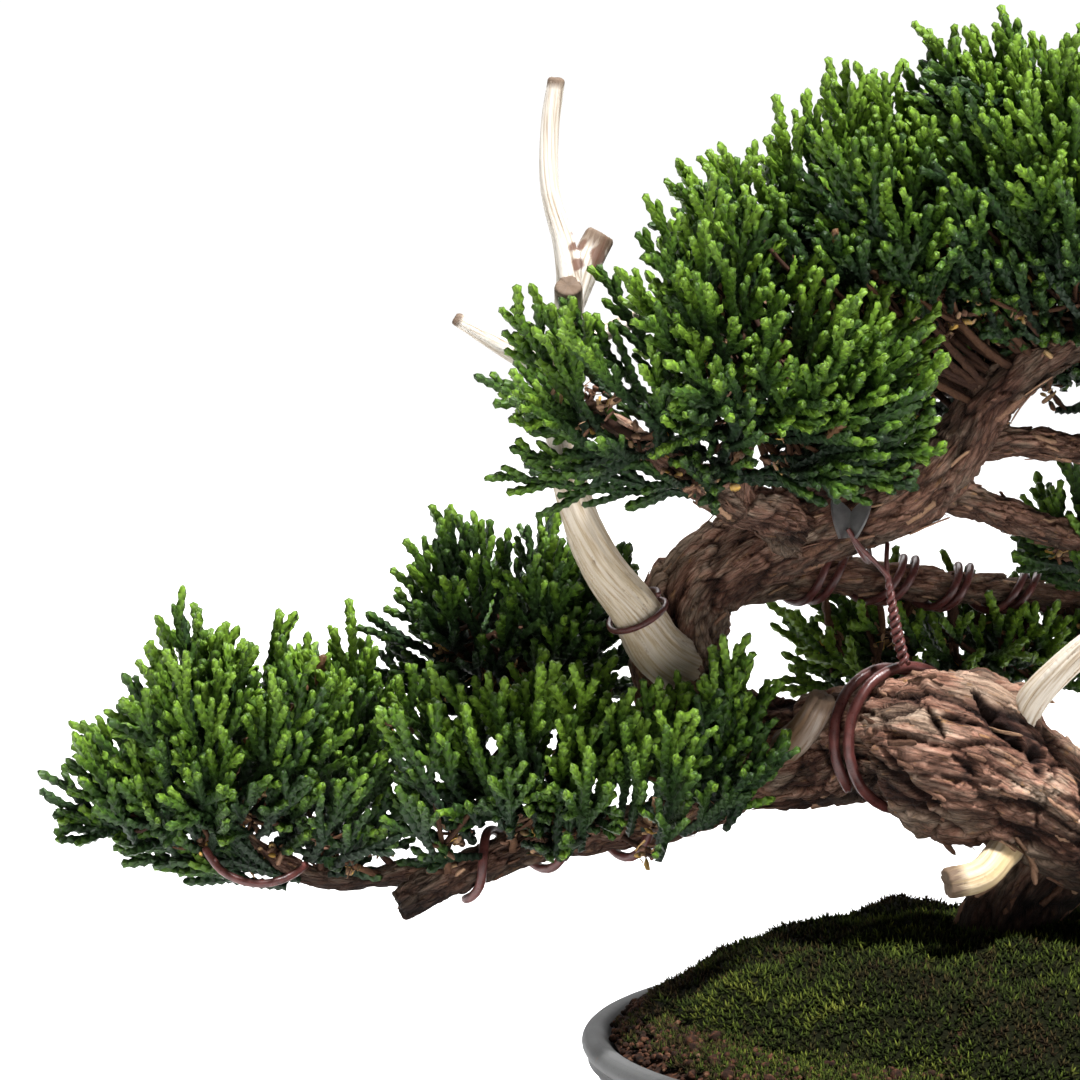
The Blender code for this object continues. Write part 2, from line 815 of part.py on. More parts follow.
def soil_profile():
    """Give the soil's section: over the mound, down the pot's wall and over the drainage mesh."""
    mound = [(radius, soil_top(radius)) for radius in dome_radii()]
    inside = [(radius - CLEARANCE, height) for radius, height in inner_profile()[1:-1]]
    bottom = floor_height() + CLEARANCE
    corner = inner_profile()[-1][0] - CLEARANCE
    recess_radius = mesh_size() / sqrt(2) + RECESS_ROOM
    recess_top = mesh_top() + 2 * (CLIP_WIRE_RADIUS + CLEARANCE) + CLEARANCE
    return [
        *mound,
        *inside,
        (corner, bottom),
        (recess_radius, bottom),
        (recess_radius, recess_top),
        (0.0, recess_top),
    ]


def moss_profile(reach):
    """Give the section of a sheet of moss lying on the mound out to a reach."""
    radii = [radius for radius in dome_radii() if radius < reach - MOSS_THICKNESS]
    under = [(radius, soil_top(radius) + CLEARANCE) for radius in [*radii, reach]]
    over = [(radius, soil_top(radius) + CLEARANCE + MOSS_THICKNESS) for radius in radii]
    shoulder = reach - MOSS_THICKNESS / 3
    over.append((shoulder, soil_top(shoulder) + CLEARANCE + MOSS_THICKNESS * MOSS_EDGE_SHARE))
    return over + under[::-1]


def make_soil(parts, axis, root_sleeves):
    """Turn the soil to the pot's inside and cut the roots out of it."""
    soil = place(turned("soil", soil_profile()), parts, axis, soil_grit())
    for sleeve in root_sleeves:
        combine(soil, sleeve, "DIFFERENCE")
    return soil


def make_moss(parts, cutters, axis, trunk_sleeves):
    """Lay the patches of moss side by side round the trunk."""
    for name, first, last, setback in MOSS_PATCHES:
        reach = mouth_radius() - setback
        patch = place(turned(name, moss_profile(reach)), parts, axis, moss_green())
        column = wedge(f"{name}_outline", first, last, reach * CUTTER_REACH, 0.0, POT_HEIGHT * 2)
        place(as_cutter(column), cutters, axis)
        combine(patch, column, "INTERSECT")
        for sleeve in trunk_sleeves:
            combine(patch, sleeve, "DIFFERENCE")


# ---------------------------------------------------------------- wood


def trunk_line():
    return tuple((place_, radius * TRUNK_GIRTH) for place_, radius in TRUNK_LINE)


def root_lines():
    """Spread the roots from the foot of the trunk down into the soil."""
    foot = Vector(TRUNK_LINE[1][0])
    for bearing in ROOT_BEARINGS:
        outward = Vector((cos(radians(bearing)), sin(radians(bearing)), 0.0))
        points = []
        for share in (0.0, 0.35, 0.7, 1.0):
            spot = foot + outward * ROOT_REACH * share
            spot.z = ROOT_START_HEIGHT + (ROOT_END_HEIGHT - ROOT_START_HEIGHT) * share ** 2
            points.append((spot, ROOT_RADIUS + (ROOT_TIP_RADIUS - ROOT_RADIUS) * share))
        yield tuple(points)


def limb_tubes(name, limbs, resolution, extra=0.0):
    """Sweep each limb of a branch, swollen by an extra radius."""
    lines = [swell(smooth_line(limb), extra) for limb in limbs]
    return [tube(f"{name}_{i + 1}", line, resolution) for i, line in enumerate(lines)]


def grow(name, solids, parts, cutters, ground, surface):
    """Join the solids of one grown piece into one object."""
    first, *others = solids
    first.name = name
    place(first, parts, ground, surface)
    for other in others:
        place(as_cutter(other), cutters, ground)
        combine(first, other, "UNION")
    return first


def sleeves(solids, cutters, ground):
    """Keep swollen copies of a piece, to cut its neighbours back from it."""
    return [place(as_cutter(solid), cutters, ground) for solid in solids]


def make_trunk(parts, cutters, ground):
    """Make the trunk with its knuckle and roots, and the sleeves that clear them."""
    knuckle_radii = [radius * TRUNK_GIRTH for radius in KNUCKLE_RADII]
    solids = {}
    for kind, extra in (("trunk", 0.0), ("trunk_sleeve", CLEARANCE)):
        bole = limb_tubes(kind, [trunk_line()], TRUNK_SIDES_RESOLUTION, extra)
        knuckle = ellipsoid(f"{kind}_knuckle", KNUCKLE_CENTRE, knuckle_radii, extra)
        roots = limb_tubes(f"{kind}_root", root_lines(), LIMB_SIDES_RESOLUTION, extra)
        solids[kind] = [*bole, knuckle, *roots]
    grow("trunk", solids["trunk"], parts, cutters, ground, bark())
    kept = sleeves(solids["trunk_sleeve"], cutters, ground)
    return kept[:2], kept[2:]


def corners_of(obj):
    """Give an object's lowest and highest corners in its own space."""
    places = [vertex.co for vertex in obj.data.vertices]
    low = Vector([min(place_[i] for place_ in places) for i in range(3)])
    high = Vector([max(place_[i] for place_ in places) for i in range(3)])
    return low, high


def near(one, other):
    """Tell whether two objects' boxes overlap."""
    (low_a, high_a), (low_b, high_b) = corners_of(one), corners_of(other)
    return all(low_a[i] < high_b[i] and low_b[i] < high_a[i] for i in range(3))


def make_branch(name, limbs, surface, trunk_sleeves, wire_room, parts, cutters, ground):
    """Grow one branch out of the trunk and return the sleeves that clear it and its wire."""
    solids = limb_tubes(name, limbs, LIMB_SIDES_RESOLUTION)
    kept = sleeves(
        limb_tubes(f"{name}_sleeve", limbs, LIMB_SIDES_RESOLUTION, CLEARANCE + wire_room),
        cutters, ground,
    )
    branch = grow(name, solids, parts, cutters, ground, surface)
    for sleeve in trunk_sleeves:
        if near(branch, sleeve):
            combine(branch, sleeve, "DIFFERENCE")
    return kept


# ---------------------------------------------------------------- foliage


def make_foliage(parts, cutters, ground, limb_sleeves):
    """Make each pad from its lobes, cut back from the wood and from the pads before it."""
    earlier = []
    for name, lobes in FOLIAGE_PADS:
        solids = [ellipsoid(f"{name}_{i + 1}", *lobe) for i, lobe in enumerate(lobes)]
        swollen = [
            ellipsoid(f"{name}_sleeve_{i + 1}", *lobe, CLEARANCE) for i, lobe in enumerate(lobes)
        ]
        touched = [
            sleeve for sleeve in limb_sleeves + earlier
            if any(near(solid, sleeve) for solid in solids)
        ]
        pad = grow(name, solids, parts, cutters, ground, leaf_green())
        for sleeve in touched:
            combine(pad, sleeve, "DIFFERENCE")
        earlier += sleeves(swollen, cutters, ground)


# ---------------------------------------------------------------- wires and guard


def wire_room(limbs):
    """Give the room that the wires wound on a branch need around it."""
    radii = [wire[2] for wire in WOUND_WIRES if wire[1] in limbs]
    return 2 * max(radii) + 3 * WIRE_GAP if radii else 0.0


def girth_of(limb):
    """Give a limb at the trunk's girth if it is the trunk."""
    return trunk_line() if limb is TRUNK_LINE else limb


def over_knuckle(place_, radius):
    """Lift a wire's place off the trunk's knuckle where it would run into it."""
    centre = Vector(KNUCKLE_CENTRE)
    offset = place_ - centre
    reach = [size * TRUNK_GIRTH + radius for size in KNUCKLE_RADII]
    depth = Vector([along / limit for along, limit in zip(offset, reach)]).length
    return centre + offset / min(depth, 1.0)


def up_to_limb(line, limb):
    """Keep a wire's line up to the first place where it would run into a limb."""
    stations = smooth_line(limb, WINDING_STEP)
    for i, (place_, radius) in enumerate(line):
        centre, girth = min(stations, key=lambda spot: (spot[0] - place_).length)
        if (place_ - centre).length < girth + radius + CLEARANCE:
            return line[:i]
    return line


def make_wound_wires(parts, ground):
    """Wind the training wires on their limbs, the trunk's one over its knuckle up to a stub."""
    for name, limb, radius, first, last, turns, phase in WOUND_WIRES:
        line = wound_line(girth_of(limb), radius, first, last, turns, phase)
        if limb is TRUNK_LINE:
            line = [(over_knuckle(place_, radius), radius) for place_, _ in line]
            line = up_to_limb(line, LEFT_JIN[0])
        place(tube(name, line, WIRE_SIDES_RESOLUTION), parts, ground, copper_brown_wire())


def tail_line():
    """Give the loose end of wire under the left foliage."""
    points = tuple((place_, LIGHT_WIRE_RADIUS) for place_ in WIRE_LEFT_TAIL)
    return smooth_line(points, WINDING_STEP)


def make_guard(parts, ground):
    """Wrap the split rubber tube round the upper trunk."""
    line = smooth_line(trunk_line(), WINDING_STEP)
    middle = share_near(line, GUARD_PLACE)
    reach = GUARD_LENGTH / 2 / (len(line) - 1) / WINDING_STEP
    lift = CLEARANCE + WIRE_GAP
    shape = bmesh.new()
    bmesh.ops.create_grid(shape, x_segments=GUARD_STEPS, y_segments=GUARD_RINGS, size=1.0)
    for vertex in shape.verts:
        share = middle + reach * vertex.co.y
        turn = GUARD_TURN + GUARD_ARC * (vertex.co.x + 1.0) / 2
        vertex.co = beside(line, share, turn, lift) * MM
    guard = place(mesh_object("wire_guard", shape), parts, ground, grey_rubber())
    wall = guard.modifiers.new("thickness", "SOLIDIFY")
    wall.thickness = GUARD_THICKNESS * MM
    wall.offset = -1.0
    return guard


def guy_line():
    """Run the guy wire up from its twist, over the guard and back down beside itself."""
    line = smooth_line(trunk_line(), WINDING_STEP)
    share = share_near(line, GUARD_PLACE)
    lift = CLEARANCE + 2 * WIRE_GAP + GUARD_THICKNESS + 2 * GUY_WIRE_RADIUS
    loop = [
        (beside(line, share, GUY_LOOP_TURN + GUY_LOOP_ARC * i / WIRE_STEPS, lift),
         GUY_WIRE_RADIUS)
        for i in range(WIRE_STEPS + 1)
    ]
    twist = [(Vector(place_), GUY_TWIST_RADIUS) for place_ in GUY_TWIST]
    neck = Vector(GUY_TWIST[-1])
    rise = (neck.lerp(loop[0][0], GUY_RISE_SHARE), GUY_WIRE_RADIUS)
    fall = (neck.lerp(loop[-1][0], GUY_FALL_SHARE), GUY_WIRE_RADIUS)
    return [*twist, rise, *loop, fall]


def make_loose_wires(parts, ground):
    """Make the loose tail and the guy wire."""
    tail = tube("wire_left_tail", tail_line(), WIRE_SIDES_RESOLUTION)
    place(tail, parts, ground, copper_brown_wire())
    guy = tube("guy_wire", guy_line(), WIRE_SIDES_RESOLUTION)
    place(guy, parts, ground, copper_brown_wire())


# ---------------------------------------------------------------- the whole object


def empty(name, location, parent=None):
    """Make an empty to measure from."""
    marker = bpy.data.objects.new(name, None)
    marker.location = location
    marker.parent = parent
    bpy.context.scene.collection.objects.link(marker)
    return marker


def build():
    """Build the pot, the soil, the tree and its wires."""
    clear_scene()
    parts = new_collection("bonsai_in_pot")
    cutters = new_collection("cutters")
    axis = empty("pot_axis", (POT_AXIS_X * MM, 0.0, 0.0))
    ground = empty("rim_plane", (0.0, 0.0, POT_HEIGHT * MM), axis)

    make_pot(parts, cutters, axis)
    make_drain_mesh(parts, axis)
    make_mesh_clip(parts, axis)

    trunk_sleeves, root_sleeves = make_trunk(parts, cutters, ground)
    make_soil(parts, axis, trunk_sleeves + root_sleeves)
    make_moss(parts, cutters, axis, trunk_sleeves)

    limb_sleeves = list(trunk_sleeves)
    for name, limbs, surface in (
        ("branch_low_left", LOW_LEFT_BRANCH, bark()),
        ("branch_upper_left", UPPER_LEFT_BRANCH, bark()),
        ("branch_back", BACK_BRANCH, bark()),
        ("branch_right_upper", RIGHT_UPPER_BRANCH, bark()),
        ("branch_right_lower", RIGHT_LOWER_BRANCH, bark()),
        ("deadwood_spar", SPAR, bleached_wood()),
        ("deadwood_low", LOW_JIN, bleached_wood()),
        ("deadwood_right", RIGHT_JIN, bleached_wood()),
        ("deadwood_left", LEFT_JIN, bleached_wood()),
    ):
        limb_sleeves += make_branch(
            name, limbs, surface, trunk_sleeves, wire_room(limbs), parts, cutters, ground
        )

    make_wound_wires(parts, ground)
    make_loose_wires(parts, ground)
    make_guard(parts, ground)
    tail_sleeve = tube("tail_sleeve", swell(tail_line(), CLEARANCE), WIRE_SIDES_RESOLUTION)
    limb_sleeves += sleeves([tail_sleeve], cutters, ground)
    make_foliage(parts, cutters, ground, limb_sleeves)


build()
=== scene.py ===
"""Looks for a trained juniper in a round stoneware pot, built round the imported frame.

Lengths in the sections are millimetres: the pot's from its axis and the ground, and the tree's
from the pot's axis and the plane of the rim.  Every finished mesh is in metres.
"""
from math import ceil, cos, pi, radians, sin

import bpy
import numpy as np
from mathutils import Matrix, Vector, kdtree, noise
from mathutils.bvhtree import BVHTree


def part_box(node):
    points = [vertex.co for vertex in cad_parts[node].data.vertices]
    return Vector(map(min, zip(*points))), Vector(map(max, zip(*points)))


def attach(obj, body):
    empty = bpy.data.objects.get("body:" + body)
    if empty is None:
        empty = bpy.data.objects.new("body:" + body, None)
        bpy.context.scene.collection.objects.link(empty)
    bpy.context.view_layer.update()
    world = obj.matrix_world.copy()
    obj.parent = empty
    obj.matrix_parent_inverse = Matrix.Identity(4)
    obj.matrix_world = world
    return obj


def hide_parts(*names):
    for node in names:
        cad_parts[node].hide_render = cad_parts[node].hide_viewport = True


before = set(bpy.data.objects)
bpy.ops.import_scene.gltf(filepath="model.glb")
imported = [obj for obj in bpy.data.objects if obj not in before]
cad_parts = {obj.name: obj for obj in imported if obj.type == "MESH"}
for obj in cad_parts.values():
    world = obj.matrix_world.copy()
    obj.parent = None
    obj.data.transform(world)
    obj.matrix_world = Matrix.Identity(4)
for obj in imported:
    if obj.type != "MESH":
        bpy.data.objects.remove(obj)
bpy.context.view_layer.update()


# ------------------------------------------------------------------------------- pot
# A shallow round bowl, thrown on a wheel and left unglazed: rolled rim, a groove under it and a
# notched foot ring.  The grey body shows the fine rings that the potter's rib left.

MM = 0.001
pot_low, pot_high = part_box("pot")
AXIS_X = (pot_low.x + pot_high.x) / 2
RIM_HEIGHT = pot_high.z / MM
RIM_RADIUS = (pot_high.x - pot_low.x) / 2 / MM
RIM_WIDTH, RIM_DEPTH, LIP_GROOVE = 5.5, 6.0, 2.6
POT_WALL, POT_FLOOR, DRAIN_RADIUS = 6.0, 5.0, 10.0
FOOT_RADIUS, FOOT_WIDTH, FOOT_HEIGHT = 50.0, 7.0, 6.0
NOTCH_WIDTH, NOTCH_HEIGHT = 16.0, 3.5
THROWN_STEPS = 160


def on_pot(points):
    """Place points in millimetres, measured from the pot's axis and the ground."""
    return np.asarray(points, float) * MM + (AXIS_X, 0.0, 0.0)


def on_tree(points):
    """Place points in millimetres, measured from the pot's axis and the plane of its rim."""
    return on_pot(points) + (0.0, 0.0, RIM_HEIGHT * MM)


def pick(*objects):
    """Select these objects only, the first one active."""
    bpy.ops.object.select_all(action="DESELECT")
    for one in objects:
        one.select_set(True)
    bpy.context.view_layer.objects.active = objects[0]


def placed(name, data):
    """Put a mesh, a curve, a light or a camera into the scene."""
    made = bpy.data.objects.new(name, data)
    bpy.context.scene.collection.objects.link(made)
    return made


def new_piece(name, points, faces=(), edges=()):
    """Make an object at the origin from points in metres."""
    mesh = bpy.data.meshes.new(name)
    mesh.from_pydata([tuple(p) for p in points], edges, faces)
    return placed(name, mesh)


def finish_with(piece, kind, **settings):
    """Add a modifier with these settings and apply it."""
    pick(piece)
    step = piece.modifiers.new(kind.lower(), kind)
    for key, value in settings.items():
        setattr(step, key, value)
    bpy.ops.object.modifier_apply(modifier=step.name)


def edit(piece, *operators):
    """Run edit-mode operators on all of a piece."""
    pick(piece)
    bpy.ops.object.mode_set(mode="EDIT")
    bpy.ops.mesh.select_all(action="SELECT")
    for operator, settings in operators:
        operator(**settings)
    bpy.ops.object.mode_set(mode="OBJECT")


def shade_round(piece):
    """Shade a piece smooth all over."""
    pick(piece)
    bpy.ops.object.shade_smooth()


OUTWARD = (bpy.ops.mesh.normals_make_consistent, dict(inside=False))


def in_place(piece, material, slot, *nodes):
    """Give a finished piece its material and its place in the frame."""
    piece.data.materials.clear()
    piece.data.materials.append(material)
    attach(piece, "root")
    if nodes:
        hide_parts(*nodes)
    return piece


def new_material(name, roughness, specular=0.5):
    """Start a material with a roughness and a strength of reflection of its own."""
    made = bpy.data.materials.new(name)
    made.use_nodes = True
    shader = made.node_tree.nodes["Principled BSDF"]
    shader.inputs["Roughness"].default_value = roughness
    shader.inputs["Specular IOR Level"].default_value = specular
    return made


def add(material, kind, inputs=(), **settings):
    """Add a node, set it and feed its inputs from values or other nodes' outputs."""
    node = material.node_tree.nodes.new(f"ShaderNode{kind}")
    for key, value in settings.items():
        setattr(node, key, value)
    for key, value in dict(inputs).items():
        if isinstance(value, bpy.types.NodeSocket):
            material.node_tree.links.new(value, node.inputs[key])
        else:
            node.inputs[key].default_value = value
    return node


def stretched(material, source, scale):
    """Scale a vector output, so that a pattern on it comes out in the scale's units."""
    return add(material, "VectorMath", {0: source, 1: scale}, operation="MULTIPLY").outputs[0]


def worked(material, how, *values):
    """Work numbers or outputs out to one number."""
    return add(material, "Math", enumerate(values), operation=how).outputs[0]


def ranged(material, value, low, high, first=0.0, last=1.0):
    """Turn a value between low and high into one between first and last."""
    ends = enumerate((value, low, high, first, last))
    return add(material, "MapRange", ends).outputs[0]


def place_mm(material, scale=(1.0, 1.0, 1.0)):
    """Give the place on the object in millimetres, times a scale."""
    spot = add(material, "TexCoord").outputs["Object"]
    return stretched(material, spot, [1.0 / MM * factor for factor in scale])


def mottle(material, place, scale, detail=4.0, roughness=0.55):
    """Give a noise with this many grains to a millimetre of its place."""
    grain = add(material, "TexNoise", {
        "Vector": place, "Scale": scale, "Detail": detail, "Roughness": roughness,
    })
    return grain.outputs["Fac"]


def blended(material, share, stops):
    """Run a share through a ramp of (position, colour) stops."""
    ramp = add(material, "ValToRGB", {"Fac": share})
    bands = ramp.color_ramp.elements
    for i, (position, colour) in enumerate(stops):
        band = bands[i] if i < 2 else bands.new(position)
        band.position = position
        band.color = (*colour, 1.0) if isinstance(colour, tuple) else (colour,) * 3 + (1.0,)
    return ramp.outputs["Color"]


def mixed(material, share, under, over, how="MIX"):
    """Lay one colour over another by a share."""
    mix = add(material, "Mix", {0: share, 6: under, 7: over}, data_type="RGBA", blend_type=how)
    return mix.outputs[2]


def patched(material, share, band, under, over):
    """Lay a colour in patches: none below the band's start, its full strength past its end."""
    start, end, strength = band
    return mixed(material, blended(material, share, ((start, 0.0), (end, strength))), under, over)


def shaded(material, tone, shade):
    """Darken or brighten a colour by another one."""
    return mixed(material, 1.0, tone, shade, "MULTIPLY")


def surface(material, colour=None, roughness=None, *reliefs):
    """Feed the shader its colour, its roughness and its (height output, depth in mm) reliefs."""
    links = material.node_tree.links
    shader = material.node_tree.nodes["Principled BSDF"]
    if colour:
        links.new(colour, shader.inputs["Base Color"])
    if roughness:
        links.new(roughness, shader.inputs["Roughness"])
    normal = None
    for height, depth in reliefs:
        bump = add(material, "Bump", {"Height": height, "Distance": depth * MM, "Strength": 1.0})
        if normal:
            links.new(normal, bump.inputs["Normal"])
        normal = bump.outputs["Normal"]
    if normal:
        links.new(normal, shader.inputs["Normal"])
    return material


def stoneware():
    """Unglazed grey clay with rings from the wheel, iron specks and a dusty bloom."""
    clay = new_material("stoneware", 0.6)
    spot = add(clay, "VectorMath", {0: add(clay, "TexCoord").outputs["Object"], 1: (AXIS_X, 0, 0)},
               operation="SUBTRACT").outputs[0]
    parts = add(clay, "SeparateXYZ", {0: stretched(clay, spot, [1.0 / MM] * 3)}).outputs
    out = worked(clay, "MULTIPLY", parts[0], parts[0])
    out = worked(clay, "MULTIPLY_ADD", parts[1], parts[1], out)
    out = worked(clay, "SQRT", out)
    rings_at = add(clay, "CombineXYZ", {0: out, 2: parts[2]}).outputs[0]
    rings = mottle(clay, rings_at, 1.3, 3.0, 0.7)
    cloud = mottle(clay, place_mm(clay), 0.06)
    speck = mottle(clay, place_mm(clay), 1.6, 2.0)
    tone = blended(clay, rings, ((0.3, (0.03, 0.031, 0.032)), (0.72, (0.072, 0.073, 0.073))))
    tone = patched(clay, cloud, (0.42, 0.62, 0.55), tone, (0.095, 0.095, 0.094, 1.0))
    rust = mottle(clay, place_mm(clay, (1.0, 1.0, 0.6)), 0.5, 5.0, 0.7)
    tone = patched(clay, rust, (0.64, 0.72, 0.6), tone, (0.085, 0.042, 0.027, 1.0))
    tone = patched(clay, speck, (0.66, 0.74, 0.8), tone, (0.035, 0.03, 0.028, 1.0))
    gloss = blended(clay, rings, ((0.2, 0.5), (0.8, 0.72)))
    return surface(clay, tone, gloss, (rings, 0.12), (speck, 0.05))


def wall_radius(height):
    """Give the pot's outer radius between the foot ring and the groove."""
    top = RIM_HEIGHT - RIM_DEPTH - LIP_GROOVE / 2
    share = max(height - FOOT_HEIGHT, 0.0) / (top - FOOT_HEIGHT)
    return FOOT_RADIUS + (RIM_RADIUS - LIP_GROOVE - FOOT_RADIUS) * share ** 0.8


groove = RIM_HEIGHT - RIM_DEPTH - LIP_GROOVE / 2
rim_middle = RIM_RADIUS - RIM_WIDTH / 2
section = []
for turn in np.linspace(pi, -0.35 * pi, 16):
    section.append((rim_middle + cos(turn) * RIM_WIDTH / 2,
                    RIM_HEIGHT - RIM_WIDTH * 0.42 * (1 - sin(turn))))
section += [(RIM_RADIUS - 1.2, groove + 1.6), (RIM_RADIUS - LIP_GROOVE + 0.2, groove + 0.5)]
for height in np.linspace(groove - 0.4, FOOT_HEIGHT, 52):
    ripple = 0.16 * noise.noise((0.0, 0.0, height / 1.7))
    section.append((wall_radius(height) + ripple, height))
section += [(FOOT_RADIUS, 0.8), (FOOT_RADIUS - 0.8, 0.0), (FOOT_RADIUS - FOOT_WIDTH + 0.8, 0.0),
            (FOOT_RADIUS - FOOT_WIDTH, 0.8), (FOOT_RADIUS - FOOT_WIDTH, FOOT_HEIGHT),
            (DRAIN_RADIUS, FOOT_HEIGHT), (DRAIN_RADIUS, FOOT_HEIGHT + POT_FLOOR)]
for height in np.linspace(FOOT_HEIGHT + POT_FLOOR, groove, 16):
    inner = wall_radius(height) - POT_WALL
    section.append((inner - 3.0 if height == FOOT_HEIGHT + POT_FLOOR else inner, height))
pot = new_piece("thrown_pot", on_pot([(r, 0.0, z) for r, z in section]),
                edges=[(i, (i + 1) % len(section)) for i in range(len(section))])
edit(pot,
     (bpy.ops.mesh.spin, dict(steps=THROWN_STEPS, angle=2 * pi, center=(AXIS_X, 0, 0), axis=(0, 0, 1))),
     (bpy.ops.mesh.remove_doubles, dict(threshold=1e-6)),
     OUTWARD)
for i in range(3):
    bpy.ops.mesh.primitive_cube_add(size=1.0)
    notch = bpy.context.object
    bearing = radians(30.0 + 120.0 * i)
    notch.scale = (FOOT_WIDTH * 3 * MM, NOTCH_WIDTH * MM, NOTCH_HEIGHT * 2 * MM)
    notch.rotation_euler.z = bearing
    middle = FOOT_RADIUS - FOOT_WIDTH / 2
    notch.location = on_pot((middle * cos(bearing), middle * sin(bearing), 0.0))
    finish_with(pot, "BOOLEAN", object=notch, operation="DIFFERENCE", solver="EXACT")
    bpy.data.objects.remove(notch)
pick(pot)
bpy.ops.object.shade_smooth_by_angle(angle=radians(50))
in_place(pot, stoneware(), "stoneware", "pot")


# ------------------------------------------------------------------------------- drainage
# A square of moulded plastic mesh over the drain hole, held by a bent wire clip.  Both stay under
# the soil, so the frame's own pieces serve.


def moulded_black():
    """Black plastic with the fine grain of its mould."""
    plastic = new_material("moulded_black", 0.5)
    grain = mottle(plastic, place_mm(plastic), 3.0)
    tone = blended(plastic, grain, ((0.3, (0.012, 0.012, 0.012)), (0.8, (0.035, 0.035, 0.033))))
    return surface(plastic, tone, None, (grain, 0.03))


def drawn_wire():
    """Bare aluminium wire with fine marks of the die."""
    metal = new_material("drawn_wire", 0.35)
    metal.node_tree.nodes["Principled BSDF"].inputs["Metallic"].default_value = 1.0
    marks = mottle(metal, place_mm(metal, (0.3, 4.0, 4.0)), 1.0)
    tone = blended(metal, marks, ((0.3, (0.42, 0.42, 0.42)), (0.7, (0.66, 0.66, 0.65))))
    return surface(metal, tone, None, (marks, 0.02))


for node, make in (("drain_mesh", moulded_black), ("mesh_clip", drawn_wire)):
    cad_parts[node].data.materials.clear()
    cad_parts[node].data.materials.append(make())


# ------------------------------------------------------------------------------- soil
# Gritty growing soil heaped towards the trunk.  It shows only as a strip of red-brown crumbs,
# bark bits and dry moss inside the rim.

SOIL_EDGE_DROP, SOIL_RISE, SOIL_POWER = 1.5, 19.0, 2.4
MOUTH_RADIUS = RIM_RADIUS - RIM_WIDTH
CRUMBS = 2600


def mound(radius):
    """Give the soil's height above the ground at a radius."""
    fall = (np.minimum(radius, MOUTH_RADIUS) / MOUTH_RADIUS) ** SOIL_POWER
    return RIM_HEIGHT - SOIL_EDGE_DROP + SOIL_RISE * (1.0 - fall)


def round_axis(radius, bearing, height):
    """Give places from their distances and bearings from the pot's axis, and their heights."""
    return np.stack([radius * np.cos(bearing), radius * np.sin(bearing), height], 1)


def damp_soil():
    """Dark soil whose crumbs run from black-brown through rust to a few pale grits."""
    soil = new_material("damp_soil", 0.95, 0.1)
    grain = mottle(soil, place_mm(soil), 0.55, 5.0)
    fine = mottle(soil, place_mm(soil), 2.6, 3.0)
    tone = blended(soil, grain, ((0.34, (0.008, 0.005, 0.004)), (0.5, (0.024, 0.012, 0.008)),
                                 (0.6, (0.07, 0.028, 0.015)), (0.7, (0.12, 0.075, 0.045))))
    return surface(soil, tone, None, (grain, 0.5), (fine, 0.15))


soil_look = damp_soil()
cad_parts["soil"].data.materials.clear()
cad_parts["soil"].data.materials.append(soil_look)


def copies_of(shape, places, turns, sizes):
    """Lay turned and sized copies of a shape, and give their points, faces and copy numbers."""
    points, faces = shape
    laid = np.einsum("nij,pj->npi", turns, points) * sizes[:, None, None] + places[:, None, :]
    offsets = np.arange(len(places))[:, None, None] * len(points)
    return (laid.reshape(-1, 3), (faces[None] + offsets).reshape(-1, 3),
            np.repeat(np.arange(len(places)), len(points)))


def points_of(mesh):
    """Give the points of a mesh as one array."""
    return np.array([v.co for v in mesh.vertices], float)


def taken(piece):
    """Take a modelled piece out of the scene as its points and its triangles."""
    pick(piece)
    bpy.ops.object.transform_apply()
    edit(piece, OUTWARD,
         (bpy.ops.mesh.quads_convert_to_tris, dict(quad_method="SHORTEST_DIAGONAL",
                                                   ngon_method="BEAUTY")))
    points = points_of(piece.data)
    faces = np.array([tuple(f.vertices) for f in piece.data.polygons], int)
    bpy.data.objects.remove(piece)
    return points, faces


def big_piece(name, points, faces, smooth=True, **attributes):
    """Make an object from many points and triangles, with a value or vector at each point."""
    mesh = bpy.data.meshes.new(name)
    mesh.vertices.add(len(points))
    mesh.vertices.foreach_set("co", np.asarray(points, np.float32).ravel())
    mesh.loops.add(len(faces) * 3)
    mesh.loops.foreach_set("vertex_index", np.asarray(faces, np.int32).ravel())
    mesh.polygons.add(len(faces))
    mesh.polygons.foreach_set("loop_start", np.arange(0, len(faces) * 3, 3, dtype=np.int32))
    mesh.update(calc_edges=True)
    mesh.validate()
    if smooth:
        mesh.shade_smooth()
    for key, values in attributes.items():
        remember(mesh, key, values)
    return placed(name, mesh)


def remember(mesh, key, values):
    """Keep a value or a vector at each point of a mesh, for its material to read."""
    kind, field = ("FLOAT", "value") if np.ndim(values) == 1 else ("FLOAT_VECTOR", "vector")
    held = mesh.attributes.new(key, kind, "POINT")
    held.data.foreach_set(field, np.asarray(values, np.float32).ravel())


def remembered(material, key, vector=False):
    """Read a value or a vector kept at the points of the mesh."""
    held = add(material, "Attribute", attribute_name=key)
    return held.outputs["Vector" if vector else "Fac"]


def random_turns(dice, count):
    """Give random rotations."""
    q = dice.normal(size=(count, 4))
    q /= np.linalg.norm(q, axis=1)[:, None]
    w, x, y, z = q.T
    return np.stack([
        1 - 2 * (y * y + z * z), 2 * (x * y - w * z), 2 * (x * z + w * y),
        2 * (x * y + w * z), 1 - 2 * (x * x + z * z), 2 * (y * z - w * x),
        2 * (x * z - w * y), 2 * (y * z + w * x), 1 - 2 * (x * x + y * y),
    ], 1).reshape(-1, 3, 3)


